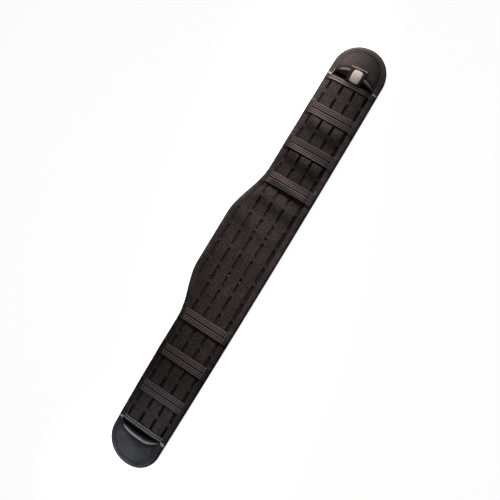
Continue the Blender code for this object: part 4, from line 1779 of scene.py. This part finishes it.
@dataclass
class LabelTab:
    """The cloth tab from the end tape over the right mouth, with a plain pale patch."""

    form: BeltForm
    centre_y: float = -13.2 * MM
    width: float = 32.0 * MM
    slant: float = 2.0 * MM
    thickness: float = 1.0 * MM
    columns: int = 40
    rows: int = 36
    line: tuple[tuple[float, float], ...] = (
        (373.6, 16.4), (378.6, 17.8), (386.0, 19.2), (395.0, 18.8), (405.0, 16.4),
    )
    droop: float = 0.5 * MM
    uneven: float = 0.12 * MM
    hem: float = 0.15 * MM
    patch_centre: tuple[float, float] = (386.4 * MM, -13.9 * MM)
    patch_size: tuple[float, float] = (25.5 * MM, 19.5 * MM)
    patch_thickness: float = 0.7 * MM
    patch_roundness: float = 0.42
    patch_rim: float = 0.18 * MM
    patch_wall: float = 0.4 * MM
    patch_gap: float = 0.1 * MM

    def top(self, x: np.ndarray) -> np.ndarray:
        """Height of the tab's upper side."""
        table = smooth_line(np.array(self.line) * MM, 60)
        return np.interp(x, table[:, 0], table[:, 1])

    def build(self) -> list[Mesh]:
        """The finished tab and its patch."""
        start, end = self.line[0][0] * MM, self.line[-1][0] * MM
        tab = cloth_grid("label_cloth_tab", self.columns, self.rows, end - start, self.width)
        u, v, _ = mesh_points(tab).T
        share = (u + 1.0) / 2
        x = start + share * (end - start) - self.slant * v / 2 * share
        y = self.centre_y + v * self.width / 2
        z = self.top(x) - self.droop * v**4 + self.uneven * soft_noise(x, y, 0.02, seed=8)
        hem = bell((np.abs(v) - 0.93) / 0.03) * self.hem
        place_points(tab, np.column_stack([x, y, z + hem]))
        dress(tab, self.thickness, SHARP, LabelCloth().make(), Slot.LABEL, "label_tab")
        return [tab, self.patch()]

    def patch(self) -> Mesh:
        """A plain rounded patch in pale satin stitch, bent to the tab."""
        long, wide = self.patch_size
        patch = cloth_grid("label_patch", 30, 24, long, wide)
        u, v, _ = mesh_points(patch).T
        x = self.patch_centre[0] + u * long / 2 * np.sqrt(1.0 - self.patch_roundness * v**2 / 2)
        y = self.patch_centre[1] + v * wide / 2 * np.sqrt(1.0 - self.patch_roundness * u**2 / 2)
        rim = np.maximum(np.abs(u), np.abs(v))
        swell = self.patch_thickness * (1.0 - rim**8) + self.patch_rim * bell((rim - 0.86) / 0.05)
        place_points(patch, np.column_stack([x, y, self.top(x) + self.patch_gap + swell]))
        return dress(patch, self.patch_wall, SHARP, PatchCloth().make(), Slot.LABEL)


@dataclass
class Stitcher:
    """Lays rows of stitches, each row one joined mesh."""

    thread: float = 0.42 * MM
    sides: int = 6

    def stitch(self) -> tuple[Points, list[tuple[int, ...]]]:
        """One stitch of length 1 along x: a short thread that dips at both ends.

        Returns:
            Its points, and the corners of each face.
        """
        clear_selection()
        bpy.ops.mesh.primitive_cylinder_add(
            vertices=self.sides, radius=0.5, depth=1.0, rotation=(0.0, math.pi / 2, 0.0)
        )
        one = bpy.context.object
        bpy.ops.object.transform_apply(location=False, rotation=True, scale=False)
        with editing(one):
            for cut in (-0.3, 0.0, 0.3):
                bpy.ops.mesh.select_all(action="SELECT")
                bpy.ops.mesh.bisect(plane_co=(cut, 0.0, 0.0), plane_no=(1.0, 0.0, 0.0))
        points = mesh_points(one)
        end = np.abs(points[:, 0]) * 2
        points[:, 1:] *= (1.0 - 0.55 * end**3)[:, None]
        faces = [tuple(face.vertices) for face in one.data.polygons]
        bpy.data.objects.remove(one)
        return points, faces

    def sew(self, name: str, starts: Points, ends: Points, finish: bpy.types.Material,
            dip: float = 0.35 * MM) -> Mesh:
        """A row of stitches.

        Args:
            name: The piece's name.
            starts: Where each stitch starts.
            ends: Where each stitch ends.
            finish: The thread's material.
            dip: How far the ends of a stitch sink into the cloth.

        Returns:
            The joined mesh.
        """
        base, faces = self.stitch()
        middle, run = (starts + ends) / 2, ends - starts
        length = np.linalg.norm(run, axis=1)[:, None]
        ahead = run / length
        side = np.cross(np.array([0.0, 0.0, 1.0]), ahead)
        side /= np.linalg.norm(side, axis=1)[:, None]
        up = np.cross(ahead, side)
        sunk = dip * (2 * np.abs(base[:, 0])) ** 2
        points = (
            middle[:, None]
            + base[None, :, :1] * (ahead * length)[:, None]
            + base[None, :, 1:2] * self.thread * side[:, None]
            + (base[None, :, 2:3] * self.thread - sunk[None, :, None]) * up[:, None]
        ).reshape(-1, 3)
        all_faces = [
            tuple(corner + k * len(base) for corner in face)
            for k in range(len(starts))
            for face in faces
        ]
        mesh = bpy.data.meshes.new(name)
        mesh.from_pydata(points.tolist(), [], all_faces)
        row = bpy.data.objects.new(name, mesh)
        bpy.context.scene.collection.objects.link(row)
        shade(row, SHARP)
        mesh.materials.append(finish)
        set_in_place(row)
        return row


@dataclass(frozen=True)
class BarTack:
    """A short bar of dense stitches: its middle, its length along y and its width along x."""

    name: str
    x: float
    y: float
    length: float
    width: float
    turn: float = 0.0


@dataclass
class Threadwork:
    """The seam of the binding, the bar tacks and the bar on the label."""

    form: BeltForm
    binding: EdgeBinding
    stitch_length: float = 3.1 * MM
    seam_height: float = 0.22 * MM
    tack_height: float = 0.25 * MM
    tack_pitch: float = 0.42 * MM
    tack_thread: float = 0.5 * MM
    zigzag: float = 0.2 * MM
    mouth_tacks: tuple[BarTack, ...] = (
        BarTack("left_upper", -0.3775, 0.0339, 8.8, 3.7),
        BarTack("left_lower", -0.3793, -0.0601, 9.4, 5.5, -10.0),
        BarTack("right_upper", 0.3731, 0.0342, 9.0, 3.7),
        BarTack("right_lower", 0.3732, -0.0601, 7.0, 2.6),
        BarTack("right_corner", 0.3802, 0.0318, 8.0, 1.6, 90.0),
    )
    slot_tacks: tuple[BarTack, ...] = (
        BarTack("slot_1", -0.0505, -0.00035, 4.0, 0.9),
        BarTack("slot_2", -0.0505, -0.02575, 4.0, 0.9),
        BarTack("slot_3", 0.0490, -0.00035, 4.0, 1.0),
        BarTack("slot_4", 0.0490, -0.02575, 4.0, 1.0),
    )
    label_tack: BarTack = BarTack("label_end", 0.4033, -0.01165, 32.0, 2.8, 2.5)
    dark_thread: Thread = Thread(
        name="seam_thread", dark=(0.014, 0.013, 0.015), light=(0.040, 0.036, 0.040)
    )
    pale_thread: Thread = Thread(
        name="tack_thread", dark=(0.30, 0.285, 0.29), light=(0.62, 0.60, 0.61)
    )
    buff_thread: Thread = Thread(
        name="label_thread", dark=(0.16, 0.135, 0.125), light=(0.38, 0.33, 0.31)
    )

    def seam(self) -> Mesh:
        """The stitches that hold the binding."""
        steps = 8
        _, _, run = self.form.stations(steps)
        count = round(run[1] * steps / self.stitch_length)
        line = self.binding.seam_line(count * 4) + (0.0, 0.0, self.seam_height)
        return Stitcher().sew("binding_seam", line[::4], line[3::4], self.dark_thread.make())

    def tacks(self, cloths: Sequence[Mesh]) -> list[Mesh]:
        """All bar tacks, those in the slots over the panel's even height.

        Args:
            cloths: The pieces that the other tacks lie on.

        Returns:
            The finished tacks.
        """
        pale, buff = self.pale_thread.make(), self.buff_thread.make()
        over_all, over_panel = hit_height(cloths), self.form.panel_height
        rows = [(tack, over_all, pale) for tack in self.mouth_tacks]
        rows += [(self.label_tack, over_all, buff)]
        rows += [(tack, over_panel, buff) for tack in self.slot_tacks]
        return [self.tack(*row) for row in rows]

    def tack(self, tack: BarTack, height: Callable, finish: bpy.types.Material) -> Mesh:
        """One bar tack: a zigzag of close stitches over the cloth under it.

        Args:
            tack: Its place and size.
            height: The height of the cloth at x and y.
            finish: The thread's material.

        Returns:
            The joined mesh.
        """
        long, wide = tack.length * MM, tack.width * MM
        count = max(6, round(long / self.tack_pitch))
        at = np.linspace(-long / 2, long / 2, count)
        turn = math.radians(tack.turn)
        starts, ends = [], []
        for k, along in enumerate(at):
            for store, across, shift in ((starts, -wide / 2, 0.0), (ends, wide / 2, self.zigzag)):
                v = along + shift * (1 if k % 2 else -1)
                x = tack.x + across * math.cos(turn) - v * math.sin(turn)
                y = tack.y + across * math.sin(turn) + v * math.cos(turn)
                store.append((x, y, float(height(x, y)) + self.tack_height))
        stitcher = Stitcher(thread=self.tack_thread, sides=5)
        return stitcher.sew(f"bar_tack_{tack.name}", np.array(starts), np.array(ends), finish)


def hit_height(objects: Sequence[Mesh]) -> Callable[[float, float], float]:
    """How high the uppermost of some objects is at any place.

    Args:
        objects: The objects that are looked at from above.

    Returns:
        A function of x and y that gives the height.
    """
    scene_graph = bpy.context.evaluated_depsgraph_get()
    trees = [BVHTree.FromObject(obj, scene_graph) for obj in objects]

    def height(x: float, y: float) -> float:
        found = [tree.ray_cast(Vector((x, y, 0.1)), Vector((0, 0, -1)))[0] for tree in trees]
        return max((hit.z for hit in found if hit), default=0.0)

    return height


@dataclass(frozen=True)
class Lamp:
    """A light that faces a point: a soft rectangle, or a beam whose edge fades right out.

    A rectangle has a width and a height in metres. A beam has the angle of its cone in
    degrees and the radius of its face.
    """

    name: str
    place: tuple[float, float, float]
    aim: tuple[float, float, float]
    power: float
    colour: Colour
    rectangle: tuple[float, float] | None = None
    cone: float = 0.0
    radius: float = 0.0

    def hang(self) -> None:
        """Put the light in its place."""
        data = bpy.data.lights.new(self.name, "AREA" if self.rectangle else "SPOT")
        data.energy, data.color = self.power, self.colour
        if self.rectangle:
            data.shape = "RECTANGLE"
            data.size, data.size_y = self.rectangle
        else:
            data.spot_size, data.spot_blend = math.radians(self.cone), 1.0
            data.shadow_soft_size = self.radius
        light = bpy.data.objects.new(self.name, data)
        bpy.context.scene.collection.objects.link(light)
        light.location = self.place
        light.rotation_mode = "QUATERNION"
        facing = Vector(self.aim) - Vector(self.place)
        light.rotation_quaternion = facing.to_track_quat("-Z", "Y")


# The colours of the lights.
WARM, COOL, PLAIN = (1.0, 0.85, 0.76), (0.84, 0.94, 1.0), (1.0, 0.92, 0.88)


@dataclass
class Studio:
    """The floor, the soft lights and the camera."""

    target: tuple[float, float, float] = (0.0, -0.15 * MM, 11.0 * MM)
    distance: float = 1.3918
    tilt: float = 13.94
    roll: float = 31.28
    lens: float = 53.84
    sensor: float = 36.0
    near_and_far: tuple[float, float] = (0.05, 20.0)
    aim: tuple[float, float] = (7.74, 2.50)
    pixel: float = 1.861 * MM
    floor_size: float = 12.0
    floor_z: float = -0.2 * MM
    lamps: tuple[Lamp, ...] = (
        Lamp("key", (3.08, 0.90, 1.00), (0.045, 0.0, 0.012), 2550.0, WARM, None, 4.5, 0.12),
        Lamp("corner", (1.35, 0.50, 0.85), (0.41, 0.065, 0.012), 235.0, WARM, None, 9.2, 0.05),
        Lamp("end", (-1.35, 0.35, 0.85), (-0.44, 0.005, 0.012), 125.0, COOL, None, 8.9, 0.06),
        Lamp("top", (0.0, -0.10, 1.60), (0.03, 0.0, 0.01), 2.3, PLAIN, (0.9, 0.6)),
    )

    def camera(self) -> None:
        """The camera of the photo: nearly overhead, the belt rising to the right."""
        tilt, roll = math.radians(self.tilt), math.radians(self.roll)
        ahead = Vector((0.0, math.sin(tilt), -math.cos(tilt)))
        across = Vector((0.0, math.cos(tilt), math.sin(tilt)))
        along = Vector((1.0, 0.0, 0.0))
        up = along * math.cos(roll) + across * math.sin(roll)
        right = along * math.sin(roll) - across * math.cos(roll)
        shift = right * self.aim[0] * self.pixel + up * self.aim[1] * self.pixel
        data = bpy.data.cameras.new("camera")
        data.lens, data.sensor_width = self.lens, self.sensor
        data.clip_start, data.clip_end = self.near_and_far
        camera = bpy.data.objects.new("camera", data)
        bpy.context.scene.collection.objects.link(camera)
        place = Matrix((right, up, -ahead)).transposed().to_4x4()
        place.translation = Vector(self.target) + shift - ahead * self.distance
        camera.matrix_world = place
        bpy.context.scene.camera = camera

    def floor(self) -> None:
        """A plain pale floor."""
        clear_selection()
        bpy.ops.mesh.primitive_plane_add(size=self.floor_size, location=(0, 0, self.floor_z))
        floor = bpy.context.object
        floor.name = "studio_floor"
        graph = Graph("studio_floor")
        for name, value in (("Base Color", (0.92, 0.92, 0.92, 1.0)), ("Roughness", 0.9),
                            ("Specular IOR Level", 0.0), ("Emission Color", (1.0, 1.0, 1.0, 1.0)),
                            ("Emission Strength", 0.85)):
            graph.feed(graph.shader, name, value)
        floor.data.materials.append(graph.material)
        floor.visible_diffuse = False
        floor.visible_glossy = False

    def build(self) -> None:
        """Set the whole studio."""
        self.floor()
        self.camera()
        for lamp in self.lamps:
            lamp.hang()
        world = bpy.data.worlds.new("studio_air")
        world.use_nodes = True
        background = world.node_tree.nodes["Background"]
        background.inputs["Color"].default_value = (0.92, 0.94, 1.0, 1.0)
        background.inputs["Strength"].default_value = 0.08
        bpy.context.scene.world = world
        bpy.context.scene.view_settings.view_transform = "Standard"


def report(pieces: Sequence[Mesh]) -> None:
    """Log each finished piece with its number of faces."""
    for piece in pieces:
        LOG.info("%s: %d faces", piece.name, len(piece.data.polygons))


def main() -> None:
    """Build and dress the belt, piece by piece."""
    logging.basicConfig(level=logging.INFO, format="%(name)s: %(message)s")
    form = BeltForm()
    binding = EdgeBinding(form)
    report([FoamPad(form).build()])
    panel = FacePanel(form).build()
    report([panel])
    straps = KeeperStraps(form).build()
    report(straps)
    tapes = [MouthTape(form, side).build() for side in Side]
    report(tapes)
    edge = binding.build()
    report([edge])
    finish = HoodCloth().make()
    hoods = [
        EndHood(form, Side.LEFT, LEFT_MOUTH, LEFT_LIP, 1.0, 0.55, finish).build(),
        EndHood(form, Side.RIGHT, RIGHT_MOUTH, RIGHT_LIP, 0.28, 1.0, finish).build(),
    ]
    report(hoods)
    labels = LabelTab(form).build()
    report(labels)
    threads = Threadwork(form, binding)
    report([threads.seam()])
    report(threads.tacks([panel, *tapes, edge, *hoods, *labels]))
    Studio().build()


if __name__ == "__main__":
    main()
